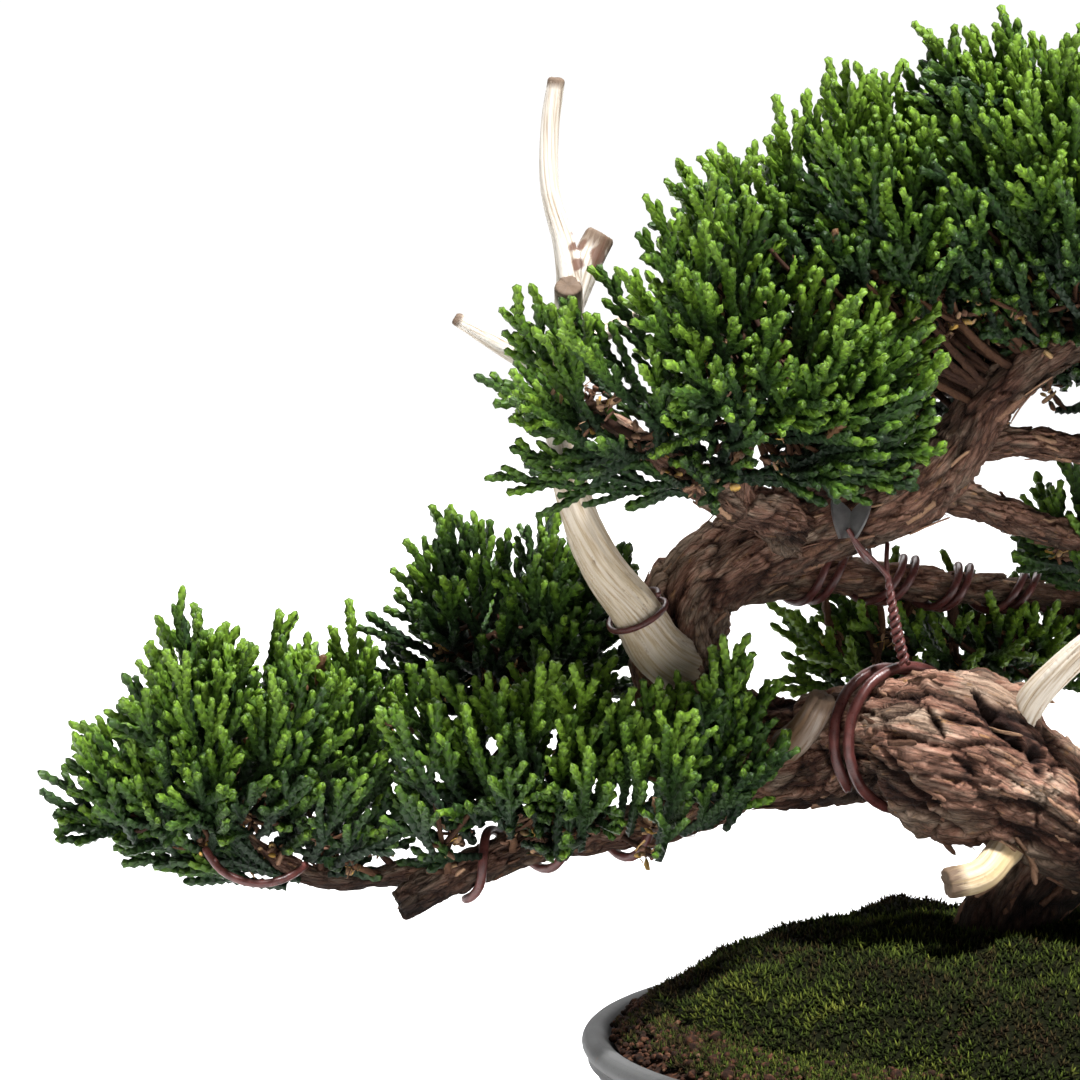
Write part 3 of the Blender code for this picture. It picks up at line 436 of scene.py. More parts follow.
dice = np.random.default_rng(11)
bpy.ops.mesh.primitive_ico_sphere_add(subdivisions=1, radius=1.0)
crumb = bpy.context.object
for vertex in crumb.data.vertices:
    vertex.co *= 1.0 + 0.3 * noise.noise(vertex.co * 1.7)
crumb = taken(crumb)
bearing = dice.uniform(0, 2 * pi, CRUMBS)
left = np.cos(bearing - radians(192)) > 0.25
inward = np.where(left, dice.uniform(0.4, 12.0, CRUMBS), dice.uniform(0.4, 4.5, CRUMBS))
radius = MOUTH_RADIUS - inward
crumb_size = dice.uniform(0.35, 0.95, CRUMBS) * np.where(dice.random(CRUMBS) < 0.06, 1.7, 1.0)
spots = round_axis(radius, bearing, mound(radius) + crumb_size * 0.4 + dice.uniform(0, 0.8, CRUMBS))
points, faces, _ = copies_of(crumb, spots, random_turns(dice, CRUMBS), crumb_size)
in_place(big_piece("soil_crumbs", on_pot(points), faces, False), soil_look, "soil_grit")


# ------------------------------------------------------------------------------- moss
# Cushions of living moss pressed on the soil, each a mat of tiny starry shoots two or three
# millimetres high.  They run from fresh green to olive and dry brown, and the sheets abut.

MOSS_VOXEL, STAR_SPACING, STAR_SIZE = 1.5, 1.22, 1.5
HUMP_PLACE, HUMP_RADIUS = (-20.0, 40.0), 6.5
STRAYS, SEAM_STRAYS = 4200, 700
SEAM_BEARINGS = (-42, 34, 112, 188, 256)
MOSS_NODES = ("moss_right", "moss_back", "moss_back_left", "moss_left_front", "moss_front")


def merged_copy(node, name):
    """Copy a frame node's mesh into a new piece with its loose triangles merged."""
    piece = placed(name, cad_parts[node].data.copy())
    edit(piece, (bpy.ops.mesh.remove_doubles, dict(threshold=2e-6)))
    return piece


def reshaped(piece, move):
    """Move each point of a piece by a function of its place and normal, all in metres."""
    count = len(piece.data.vertices)
    places, normals = np.zeros(count * 3, np.float32), np.zeros(count * 3, np.float32)
    piece.data.vertices.foreach_get("co", places)
    piece.data.vertex_normals.foreach_get("vector", normals)
    places = move(places.reshape(-1, 3).astype(float), normals.reshape(-1, 3).astype(float))
    piece.data.vertices.foreach_set("co", places.astype(np.float32).ravel())
    piece.data.update()


def noise_at(places, seed=0.0):
    """Read a smooth noise between about -1 and 1 at each place."""
    return np.array([noise.noise((x, y, z + seed)) for x, y, z in places])


def scattered(piece, spacing, dice, wanted):
    """Scatter places on a piece at least a spacing apart, with their normals, where wanted."""
    mesh = piece.data
    mesh.calc_loop_triangles()
    corners = np.zeros(len(mesh.loop_triangles) * 3, np.int32)
    mesh.loop_triangles.foreach_get("vertices", corners)
    places = points_of(mesh)[corners].reshape(-1, 3, 3)
    across = np.cross(places[:, 1] - places[:, 0], places[:, 2] - places[:, 0])
    area = np.linalg.norm(across, axis=1)
    count = int(area.sum() / 2 / (spacing * MM) ** 2 * 5)
    chosen = dice.choice(len(area), count, p=area / area.sum())
    u, v = dice.random((2, count))
    u, v = np.where(u + v > 1, 1 - u, u), np.where(u + v > 1, 1 - v, v)
    a, b, c = places[chosen].transpose(1, 0, 2)
    spots = a + (b - a) * u[:, None] + (c - a) * v[:, None]
    normals = across[chosen] / area[chosen][:, None]
    keep = wanted(spots, normals)
    spots, normals = spots[keep], normals[keep]
    cells, kept = {}, []
    for i, key in enumerate(map(tuple, np.floor(spots / (spacing * MM)).astype(int))):
        near = [j for dx in (-1, 0, 1) for dy in (-1, 0, 1) for dz in (-1, 0, 1)
                for j in cells.get((key[0] + dx, key[1] + dy, key[2] + dz), ())]
        if near and ((spots[near] - spots[i]) ** 2).sum(1).min() < (spacing * MM) ** 2:
            continue
        cells.setdefault(key, []).append(i)
        kept.append(i)
    return spots[kept], normals[kept]


def facing(directions, spins):
    """Give rotations that turn +Z to each direction, spun about it."""
    z = directions / np.linalg.norm(directions, axis=1)[:, None]
    side = np.where(np.abs(z[:, 2:]) < 0.9, [[0.0, 0.0, 1.0]], [[1.0, 0.0, 0.0]])
    x = np.cross(side, z)
    x /= np.linalg.norm(x, axis=1)[:, None]
    y = np.cross(z, x)
    c, s = np.cos(spins)[:, None], np.sin(spins)[:, None]
    return np.stack([x * c + y * s, y * c - x * s, z], 2)


def old_hump(spots):
    """Give how near each place is to the dry old hump of moss behind the trunk."""
    off = (spots[:, :2] - (AXIS_X, 0.0)) / MM - HUMP_PLACE
    return np.exp(-(off ** 2).sum(1) / (2 * HUMP_RADIUS ** 2))


def living_moss():
    """Moss from fresh green to olive and brown, with painted shade down between the shoots and a
    painted highlight at their tips.
    """
    moss = new_material("living_moss", 0.9, 0.08)
    tone = blended(moss, remembered(moss, "tone"), (
        (0.0, (0.012, 0.008, 0.005)), (0.1, (0.045, 0.027, 0.013)), (0.2, (0.085, 0.054, 0.022)),
        (0.36, (0.046, 0.044, 0.012)), (0.55, (0.038, 0.058, 0.01)), (0.78, (0.088, 0.12, 0.016)),
        (1.0, (0.2, 0.22, 0.035))))
    # Painted shade low on each shoot and on the mat under them, and a painted highlight at the shoots'
    # tips.
    depth = blended(moss, remembered(moss, "rise"), ((0.0, 0.05), (0.35, 0.24), (0.8, 0.95),
                                                     (1.0, 1.5)))
    fine = mottle(moss, place_mm(moss), 2.2)
    tone = shaded(moss, tone, depth)
    return surface(moss, tone, None, (fine, 0.6))


bpy.ops.mesh.primitive_cone_add(vertices=3, radius1=0.2, depth=1.0, location=(0, 0, 0.5))
needle = taken(bpy.context.object)
LEAN = np.radians((12, 44, 50, 54, 64))
BEARING = np.radians((0, 10, 130, 250, 70))
lean_to = np.stack([np.sin(LEAN) * np.cos(BEARING), np.sin(LEAN) * np.sin(BEARING),
                    np.cos(LEAN)], 1)
star_points, star_faces, _ = copies_of(
    needle, np.zeros((len(LEAN), 3)), facing(lean_to, np.zeros(len(LEAN))),
    np.array((1.25, 1.1, 1.15, 1.05, 1)))
star = (star_points, star_faces)

moss_look = living_moss()
dice = np.random.default_rng(23)
for node in MOSS_NODES:
    mat = merged_copy(node, f"moss_mat{node[4:]}")
    finish_with(mat, "REMESH", mode="VOXEL", voxel_size=MOSS_VOXEL * MM)
    finish_with(mat, "SMOOTH", factor=0.6, iterations=4)

    def heave(places, normals):
        """Swell the top of the mat into small cushions."""
        up = np.clip(normals[:, 2], 0.0, 1.0)
        swell = 2.6 * noise_at(places * 50) + 1.3 * noise_at(places * 130, 7.0)
        swell += 3.0 * old_hump(places)
        return places + np.stack([0 * up, 0 * up, up * swell * MM], 1)

    reshaped(mat, heave)
    spots, normals = scattered(mat, STAR_SPACING, dice, lambda p, n: n[:, 2] > 0.25)
    patch = noise_at(spots * 48, 3.0) + 0.5 * noise_at(spots * 190, 9.0)
    fresh = np.clip(0.56 + 0.42 * patch + dice.normal(0, 0.13, len(spots)), 0.08, 1.0)
    out = np.linalg.norm(spots[:, :2] - (AXIS_X, 0.0), axis=1) / MM
    left = np.clip((-(spots[:, 0] - AXIS_X) / MM - 46) / 22, 0, 1) * (out > 60)
    fresh = np.clip(fresh - 0.42 * left * dice.random(len(spots)), 0.1, 1.0)
    dry = np.clip(1.5 * old_hump(spots), 0, 1)
    fresh = fresh * (1 - dry) + dry * dice.uniform(0.12, 0.28, len(spots))
    lean = normals + dice.normal(0, 0.22, (len(spots), 3)) + (0, 0, 0.35)
    size = STAR_SIZE * dice.uniform(0.7, 1.3, len(spots)) * (0.8 + 0.35 * fresh)
    turns = facing(lean, dice.uniform(0, 6, len(spots)))
    points, faces, owner = copies_of(star, spots / MM, turns, size)
    rise = np.tile(star_points[:, 2] / star_points[:, 2].max(), len(spots))
    base = points_of(mat.data)
    mat.data.calc_loop_triangles()
    skin = np.array([tuple(t.vertices) for t in mat.data.loop_triangles], int)
    bpy.data.objects.remove(mat)
    # The mat under the shoots takes a low rise, which paints it dark as shade beneath them.
    cushion = big_piece(
        node.replace("moss", "moss_cushion"),
        np.concatenate([base, points * MM]), np.concatenate([skin, faces + len(base)]),
        tone=np.concatenate([np.full(len(base), 0.42), fresh[owner]]),
        rise=np.concatenate([np.full(len(base), 0.12), rise]),
    )
    in_place(cushion, moss_look, "moss", node)


bearing = dice.uniform(radians(176), radians(272), STRAYS)
radius = MOUTH_RADIUS - 1.2 - 13.0 * dice.random(STRAYS) ** 0.7
spots = round_axis(radius, bearing, mound(radius) + 0.3)
bald = np.clip((radians(222) - bearing) / radians(14), 0, 1)
keep = noise_at(spots * 0.12, 40.0) + 0.4 * dice.random(STRAYS) > -0.04 - 0.6 * (1 - bald)
seam_bearing = radians(1) * dice.choice(SEAM_BEARINGS, SEAM_STRAYS)
seam_radius = dice.uniform(12, MOUTH_RADIUS - 5, SEAM_STRAYS)
seam = round_axis(seam_radius, seam_bearing, mound(seam_radius) + 1.9)
seam = seam + dice.normal(0, 0.7, (SEAM_STRAYS, 3)) * (1, 1, 0.5)
spots = np.concatenate([spots[keep], seam])
lean = dice.normal(0, 0.25, (len(spots), 3)) + (0, 0, 1)
points, faces, owner = copies_of(star, spots, facing(lean, dice.uniform(0, 6, len(spots))),
                                 dice.uniform(0.8, 1.7, len(spots)))
fresh = dice.normal(0.34, 0.2, len(spots))
fresh[:keep.sum()] += 0.24 * (1 - bald[keep])
fresh = np.clip(fresh, 0.05, 0.95)
in_place(big_piece("moss_strays", on_pot(points), faces, tone=fresh[owner],
                   rise=np.tile(star_points[:, 2] / star_points[:, 2].max(), len(spots))),
         moss_look, "moss")


# ------------------------------------------------------------------------------- trunk
# An old twisted trunk that leaves the soil, loops forward into a thick knuckle and climbs to the
# apex.  Its bark splits along the grain into plates and shreds, and old wounds show at the knuckle.

TRUNK_LINE = (
    (-2, 7, -12, 12.5), (-2, 7, 5, 11.5), (-1, 8, 19, 9.8), (5.5, 9, 29, 9.6),
    (13.5, 10, 35, 9.8), (22, 10, 37.5, 10), (30.5, 6.5, 38, 10), (34, -2, 38, 10),
    (30.5, -10.5, 38, 10.2), (22, -14, 39.5, 10.8), (12.8, -14, 43.2, 11.5),
    (2.7, -14, 51.2, 13), (-7.3, -14.5, 57.5, 13.5), (-15.5, -11, 60.2, 13.2),
    (-21.5, -3.5, 60, 12.8), (-27.5, 4, 58.5, 12.4), (-36, 8.5, 56.2, 12.1),
    (-45.5, 10.3, 54.6, 12), (-55, 11, 56.5, 11.6), (-63, 11.5, 65, 10.6), (-66, 11.5, 77, 9.6),
    (-62.5, 10, 88.5, 8.8), (-53, 8, 95.8, 8.5), (-42, 6, 100.3, 8.2), (-30, 4, 105, 8),
    (-19, 2, 110.5, 7.6), (-11, 1, 118.5, 6.5), (-5, 0, 127.4, 5.5), (3.5, 0, 134.5, 4.8),
    (14, -1, 141, 4.2), (23, -2, 149, 3.4), (29, -2, 160, 2.4),
)
KNUCKLE_CENTRE, KNUCKLE_RADII = (-11.0, -14.5, 58.5), (18.5, 15.0, 17.3)
ROOT_BEARINGS, ROOT_REACH = (20.0, 95.0, 165.0, 235.0, 305.0), 38.0
TRUNK_VOXEL, TRUNK_TWIST = 0.6, 0.012


def unit(vectors):
    """Give each vector the length of one."""
    return vectors / np.maximum(np.linalg.norm(vectors, axis=-1, keepdims=True), 1e-9)


def smooth_run(points, step=0.6):
    """Run a smooth line through (x, y, z, radius) points, with stations at even steps."""
    p = np.array(points, float)
    p = np.vstack([2 * p[0] - p[1], p, 2 * p[-1] - p[-2]])
    stations = []
    for a, b, c, d in zip(p, p[1:], p[2:], p[3:]):
        count = max(2, ceil(np.linalg.norm((c - b)[:3]) / step))
        t = np.arange(count)[:, None] / count
        stations.append(b + 0.5 * t * (c - a + t * (2 * a - 5 * b + 4 * c - d
                                                    + t * (3 * b - a - 3 * c + d))))
    return np.vstack([*stations, p[-2:-1]])


def drawn_round(name, runs):
    """Draw round limbs along smooth runs, as one mesh of closed skins."""
    curve = bpy.data.curves.new(name, "CURVE")
    curve.dimensions, curve.bevel_depth, curve.bevel_resolution = "3D", MM, 5
    curve.use_fill_caps = True
    for run in runs:
        spline = curve.splines.new("POLY")
        spline.points.add(len(run) - 1)
        spline.points.foreach_set("co", np.c_[on_tree(run[:, :3]), np.ones(len(run))].ravel())
        spline.points.foreach_set("radius", run[:, 3])
    limb = placed(name, curve)
    pick(limb)
    bpy.ops.object.convert(target="MESH")
    return bpy.context.object


def tree_of(places):
    """Put places in a tree that finds the nearest one."""
    tree = kdtree.KDTree(len(places))
    for i, place in enumerate(places):
        tree.insert(place, i)
    tree.balance()
    return tree


def in_grain(places, runs, twist):
    """Give each place's position across and along the grain of its limb, in millimetres."""
    centres, ways, sides, far, radii = [], [], [], [], []
    for number, run in enumerate(runs):
        way = np.gradient(run[:, :3], axis=0)
        way /= np.linalg.norm(way, axis=1)[:, None]
        side = np.cross(way[0], (0.31, 1.0, 0.17))
        for one in way:
            side = side - one * side.dot(one)
            side /= np.linalg.norm(side)
            sides.append(side)
        steps = np.linalg.norm(np.diff(run[:, :3], axis=0), axis=1)
        far.append(np.concatenate([[0], np.cumsum(steps)]) + 400.0 * number)
        centres.append(run[:, :3])
        ways.append(way)
        radii.append(run[:, 3])
    centres, ways, far, radii = map(np.concatenate, (centres, ways, far, radii))
    sides = np.array(sides)
    tree = tree_of(centres)
    near = np.array([tree.find(place)[1] for place in places])
    off = places - centres[near]
    along = (off * ways[near]).sum(1)
    across = (off * sides[near]).sum(1)
    around = (off * np.cross(ways[near], sides[near])).sum(1)
    turn = np.arctan2(around, across) + twist * far[near]
    grain = np.stack([radii[near] * np.cos(turn), radii[near] * np.sin(turn), far[near] + along], 1)
    return grain, ways[near]


def from_tree(places):
    """Measure places in metres from the pot's axis and the plane of its rim, in millimetres."""
    return (places - (AXIS_X, 0.0, RIM_HEIGHT * MM)) / MM


def grain_noise(grain, across, along, seed):
    """Read a noise with these numbers of grains to a millimetre across and along the wood."""
    return noise_at(grain * (across, across, along), seed)


def carved(name, limb, runs, voxel, twist, relief_at, marks=(), softness=2):
    """Grow limbs into one skin, carve its bark or grain into it, and cut marks in its front."""
    finish_with(limb, "REMESH", mode="VOXEL", voxel_size=voxel * MM)
    finish_with(limb, "SMOOTH", factor=0.6, iterations=softness)
    limb.name = name
    kept = {}

    def carve(places, normals):
        """Move the skin out and in by its relief, and by the listed marks where there are any."""
        here = from_tree(places)
        grain, _ = in_grain(here, runs, twist)
        girth = np.hypot(grain[:, 0], grain[:, 1])
        relief = relief_at(grain, girth)
        # The relief kept for the materials paints their shade: cuts count at full depth, raised marks
        # at a small share.
        shade = relief.copy()
        for start, end, width, depth in marks:
            a, b = np.array(start, float), np.array(end, float)
            face = here[:, ::2]
            share = np.clip(((face - a) @ (b - a)) / max((b - a) @ (b - a), 1e-6), 0, 1)
            ragged = 1 + 0.6 * noise_at(here * 0.35, width)
            off = np.linalg.norm(face - a - share[:, None] * (b - a), axis=1)
            taper = 1 - 0.8 * np.abs(2 * share - 1) ** 2 if (b - a).any() else 1
            bite = np.clip(1 - off / (width * ragged * taper), 0, 1)
            bite = bite * bite * (3 - 2 * bite) * (normals[:, 1] < 0.1) * (here[:, 1] < -5)
            relief = relief + depth * bite
            shade = shade + depth * (1.0 if depth < 0 else 0.15) * bite
        tips = np.min([np.linalg.norm(here - run[-1, :3], axis=1) / run[-1, 3] for run in runs], 0)
        kept.update(grain=grain, relief=shade, tip=np.clip(1.9 - tips, 0, 1))
        return places + normals * relief[:, None] * MM

    reshaped(limb, carve)
    for key, values in kept.items():
        remember(limb.data, key, values)
    shade_round(limb)
    return limb


def plates(grain, across, along, gap, seed):
    """Read a crust of plates: each place's plate height, its tilt, and its nearness to a crack."""
    height, tilt, crack = np.zeros((3, len(grain)))
    for i, (x, y, z) in enumerate(grain * (across, across, along)):
        warp = 0.35 * noise.noise((x * 1.3, y * 1.3, z * 1.3 + seed))
        spot = Vector((x + warp, y - warp, z + warp + seed))
        far, centres = noise.voronoi(spot)
        height[i] = noise.cell(centres[0] * 31.7)
        tilt[i] = (spot.z - centres[0].z) * (1 if height[i] > 0 else -1)
        crack[i] = 1 - min((far[1] - far[0]) / gap, 1.0)
    return height, tilt, crack


def bark_relief(grain, girth):
    """Old juniper bark: muscles, split plates that lift at one end, and shreds."""
    old = np.clip(girth / 9.0, 0.35, 1.0)
    muscle = grain_noise(grain, 0.12, 0.02, 0.0)
    height, tilt, crack = plates(grain, 0.17, 0.09, 0.14, 3.0)
    chip, curl, line = plates(grain, 0.45, 0.24, 0.3, 50.0)
    shred = np.abs(grain_noise(grain, 0.8, 0.1, 31.0))
    return old * (1.4 * muscle + 0.4 * height + 0.75 * tilt - 1.0 * crack
                  + 0.3 * chip + 0.4 * curl - 0.3 * line + 0.45 * (shred - 0.2))


def grained(material, grain, scale, *settings):
    """Give a noise stretched along the grain of the wood."""
    return mottle(material, stretched(material, grain, scale), 1.0, *settings)


def old_bark():
    """Pinkish brown bark with grey weathered plates, straw flecks and dark crust lines, painted shade
    in its cracks and low down.
    """
    bark = new_material("old_bark", 0.85, 0.2)
    grain, relief = remembered(bark, "grain", True), remembered(bark, "relief")
    streak = grained(bark, grain, (1.2, 1.2, 0.28), 6.0, 0.72)
    patch = grained(bark, grain, (0.16, 0.16, 0.07), 4.0, 0.65)
    fleck = grained(bark, grain, (0.9, 0.9, 0.35), 3.0, 0.7)
    fibre = grained(bark, grain, (4.0, 4.0, 0.3), 4.0, 0.75)
    crust = add(bark, "TexVoronoi", {"Vector": stretched(bark, grain, (0.8, 0.8, 0.17)),
                                     "Scale": 1.0}, feature="DISTANCE_TO_EDGE").outputs[0]
    red = blended(bark, streak, ((0.3, (0.075, 0.033, 0.021)), (0.42, (0.22, 0.108, 0.072)),
                                 (0.55, (0.38, 0.21, 0.15)), (0.75, (0.56, 0.38, 0.29))))
    grey = blended(bark, streak, ((0.3, (0.09, 0.062, 0.044)), (0.48, (0.3, 0.215, 0.155)),
                                  (0.7, (0.54, 0.43, 0.33))))
    tone = patched(bark, patch, (0.47, 0.58, 0.9), red, grey)
    tone = patched(bark, fleck, (0.6, 0.7, 0.7), tone, (0.5, 0.28, 0.12, 1.0))
    # Painted shade in the bark's cracks, hollows and cuts, and a painted highlight on its raised
    # plates, from the kept relief.
    relief_for_painted_shade = ranged(bark, relief, -1.5, 0.6)
    deep = blended(bark, relief_for_painted_shade, ((0.0, (0.06, 0.035, 0.03)), (0.4, (0.38, 0.32, 0.3)),
                                  (0.7, (0.85, 0.82, 0.8)), (1.0, (1.15, 1.12, 1.1))))
    tone = shaded(bark, tone, deep)
    tone = shaded(bark, tone, blended(bark, crust, ((0.0, 0.5), (0.08, 1.0))))
    # Painted shade: darker towards the soil and on faces that turn down, standing in for the shade
    # under the knuckle and the limbs.
    parts = add(bark, "SeparateXYZ", {0: place_mm(bark)}).outputs
    painted_shade_near_soil = ranged(bark, parts[2], RIM_HEIGHT + 26.0, RIM_HEIGHT + 42.0, 0.14, 1.0)
    facing_up = add(bark, "SeparateXYZ", {0: add(bark, "NewGeometry").outputs["Normal"]}).outputs[2]
    painted_shade_facing_down = ranged(bark, facing_up, -0.6, 0.3, 0.38, 1.0)
    worn_and_painted_shade = worked(bark, "MULTIPLY", painted_shade_near_soil, painted_shade_facing_down)
    tone = shaded(bark, tone, blended(bark, worn_and_painted_shade, ((0.0, 0.0), (1.0, 1.0))))
    return surface(bark, tone, None, (blended(bark, crust, ((0.0, 0.0), (0.14, 1.0))), 0.4),
                   (streak, 0.8), (fibre, 0.4))


trunk_runs = [smooth_run(TRUNK_LINE)]
for i, bearing in enumerate(ROOT_BEARINGS):
    turn = radians(bearing)
    trunk_runs.append(smooth_run([
        (-2 + ROOT_REACH * share * cos(turn), 7 + ROOT_REACH * share * sin(turn),
         4.0 - 18.0 * share ** 2, 4.6 - 3.0 * share) for share in (0.0, 0.35, 0.7, 1.0)]))
trunk = drawn_round("trunk", trunk_runs)
bpy.ops.object.select_all(action="DESELECT")
bpy.ops.mesh.primitive_ico_sphere_add(subdivisions=4, radius=MM, location=on_tree(KNUCKLE_CENTRE),
                                      scale=KNUCKLE_RADII)
knuckle = bpy.context.object
pick(trunk, knuckle)
bpy.ops.object.join()
KNUCKLE_MARKS = (
    ((-9.5, 72.5), (0.5, 60.8), 1.7, -3.2), ((-19.1, 69.8), (-15.3, 63.3), 1.3, -1.7),
    ((-16.3, 68.1), (-8.6, 66.4), 1.2, -1.4), ((-14.5, 61), (-9, 56), 1.2, -1.3),
    ((2.7, 60.0), (2.7, 60.0), 2.4, -2.2), ((3.6, 56.9), (3.6, 56.9), 1.8, -1.8),
    ((-0.5, 64), (5, 60.5), 2.6, 1.5), ((-18.0, 72.8), (-18.0, 72.8), 2.4, 1.4),
    ((-12, 77), (4, 75.7), 3.2, 1.8), ((1.5, 71.6), (1.5, 71.6), 4.2, 1.6),
    ((-29.6, 58.4), (-14.0, 48.0), 1.7, -2.2), ((-27.5, 61.0), (-20.0, 51.0), 1.3, -1.6),
    ((-25.0, 52.0), (-10.0, 43.5), 1.4, -1.6), ((-4.5, 53.4), (12.0, 44.1), 1.6, -1.6),
    ((5.5, 53.0), (16.0, 47.0), 1.3, -1.3), ((-6, 47), (8, 39), 1.3, -1.2),
)
trunk = carved("trunk_bark", trunk, trunk_runs, TRUNK_VOXEL, TRUNK_TWIST, bark_relief, KNUCKLE_MARKS)
bark_look = old_bark()
in_place(trunk, bark_look, "bark", "trunk")
barked = [(trunk, trunk_runs, 300, 1.0)]


# ------------------------------------------------------------------------------- branches
# Five living branches, each grown out of the trunk.  Their bark is thinner and flakes finer.

BRANCHES = {
    "branch_low_left": (
        ((-54.9, 11, 50.2, 5.5), (-62, 10, 44.8, 5.2), (-72.2, 7, 40.8, 4.6),
         (-82.3, 4, 39.7, 4.2), (-94.4, 1, 38.2, 4.2), (-108.4, -2, 33.4, 4),
         (-117.4, -4, 29.3, 3.6), (-122.8, -5, 26.4, 3)),
        ((-109, -2, 33, 2.6), (-117, 1.5, 32.8, 2.6), (-126, 2.5, 31, 2.5), (-135, 2, 30.4, 2.3),
         (-145, 0, 33.4, 2.1), (-155.5, -2, 41.1, 1.8), (-164, -3, 49, 1.4)),
        ((-90, 2.5, 38.8, 2.6), (-96, 10, 48, 2.2), (-103, 17, 62, 1.8), (-107, 21, 76, 1.4)),
    ),
    "branch_upper_left": (
        ((-42.5, 3, 101, 5.6), (-48.5, -7, 105.5, 5), (-56, -14, 108.5, 4.4),
         (-63, -18, 112.5, 3.6), (-74, -22, 120.5, 2.6), (-85.6, -24, 128.5, 1.6)),
        ((-56, -14, 108.5, 3.2), (-54.8, -17, 121, 2.6), (-53.4, -20, 135, 2),
         (-55.1, -22, 150, 1.4)),
    ),
    "branch_back": (
        ((-65, 11, 82, 4.4), (-60.5, 22, 85, 4.2), (-50, 27, 87.4, 4), (-35, 31, 88.6, 3.8),
         (-20.1, 37, 86.8, 3.6), (-8, 43, 84.6, 3.4), (4, 48, 83.4, 3), (18.9, 54, 81, 2.2)),
    ),
    "branch_right_upper": (
        ((-12.5, 1.5, 117, 3.8), (-0.5, 6, 118.8, 3.2), (14.4, 12, 116.6, 3), (30, 15, 115, 2.6),
         (46, 13, 118, 2.1), (59, 8, 117.5, 1.5)),
    ),
    "branch_right_lower": (
        ((-18, 2.5, 109, 3.8), (-8, 6.5, 106.6, 3.4), (2, 11, 102.6, 3.2), (16, 20, 96.6, 2.8),
         (31, 29, 93.5, 2.3), (49, 29, 90, 1.6)),
    ),
}
BRANCH_VOXEL = 0.5


def branch_relief(grain, girth):
    """Thinner bark: small plates, curling scales, and knots where twigs dropped."""
    scale = np.clip(girth / 4.0, 0.45, 1.2)
    knots = np.clip(grain_noise(grain, 0.1, 0.09, 77.0) - 0.2, 0, 1)
    height, tilt, crack = plates(grain, 0.42, 0.16, 0.25, 9.0)
    shred = np.abs(grain_noise(grain, 1.0, 0.1, 33.0))
    waist = grain_noise(grain, 0.05, 0.12, 90.0)
    return scale * (2.6 * knots + 0.36 * height + 0.6 * tilt - 0.55 * crack
                    + 0.6 * (shred - 0.2) + 0.8 * waist)


living_runs = {}
for node, lines in BRANCHES.items():
    runs = [smooth_run(line) for line in lines]
    living_runs[node] = runs
    branch = carved(f"{node}_bark", drawn_round(node, runs), runs, BRANCH_VOXEL, 0.02,
                    branch_relief, softness=1)
    in_place(branch, bark_look, "bark", node)
    barked.append((branch, runs, 70, 0.62))


# ------------------------------------------------------------------------------- bark shreds
# Loose strips of bark that peel along the grain of the trunk and branches, and lift at one end.


def cords(starts, ways, bends, lengths, radii, tones, faced, step, broad, deep):
    """Sweep bent, blunt cords whose rings alternate, and give their mesh and what it carries."""
    meshes, total = [], 0
    counts = np.clip(np.round(lengths / step).astype(int) + 1, 3, 60)
    for count in np.unique(counts):
        own = counts == count
        t = np.linspace(0, 1, count)[None, :, None]
        long = lengths[own][:, None, None]
        line = starts[own][:, None] + long * (ways[own][:, None] * t + bends[own][:, None] * t * t)
        way = unit(ways[own][:, None] + 2 * bends[own][:, None] * t)
        side = unit(np.cross(way, faced[own][:, None] + 1e-4))
        other = np.cross(way, side)
        odd = np.arange(count) % 2
        swell = np.interp(t[0, :, 0], (0, 0.15, 0.8, 1), (0.8, 1.0, 1.0, 0.84))
        wide, thin = (radii[own][:, None, None] * (np.array(pair)[odd] * swell)[None, :, None]
                      for pair in (broad, deep))
        ring = np.stack([line + side * wide, line + other * thin,
                         line - side * wide, line - other * thin], 2)
        n = own.sum()
        ends = np.stack([line[:, 0], line[:, -1] + way[:, -1] * radii[own][:, None] * 0.55], 1)
        points = np.concatenate([ring.reshape(n, -1, 3), ends], 1)
        quads = [(4 * i + j, 4 * i + (j + 1) % 4, 4 * i + 4 + (j + 1) % 4, 4 * i + 4 + j)
                 for i in range(count - 1) for j in range(4)]
        tris = [half for a, b, c, d in quads for half in ((a, b, c), (a, c, d))]
        tail, tip, last = 4 * count, 4 * count + 1, 4 * count - 4
        tris += [(tail, (j + 1) % 4, j) for j in range(4)]
        tris += [(tip, last + j, last + (j + 1) % 4) for j in range(4)]
        faces = np.array(tris)[None] + np.arange(n)[:, None, None] * points.shape[1] + total
        low, high = tones[own][:, 0], tones[own][:, 1]
        grow = np.concatenate([np.repeat(t[0, :, 0], 4), (0.0, 1.0)])
        leaf = np.zeros((points.shape[1], 3))
        leaf[:-2] = [((1, 0), (0, 1), (-1, 0), (0, -1))[j] + (i / 2,)
                     for i in range(count) for j in range(4)]
        leaf[-1, 2] = count / 2
        meshes.append((points.reshape(-1, 3), faces.reshape(-1, 3),
                       (low[:, None] + (high - low)[:, None] * grow[None]).ravel(),
                       np.tile(leaf, (n, 1))))
        total += n * points.shape[1]
    return [np.concatenate(parts) for parts in zip(*meshes)]


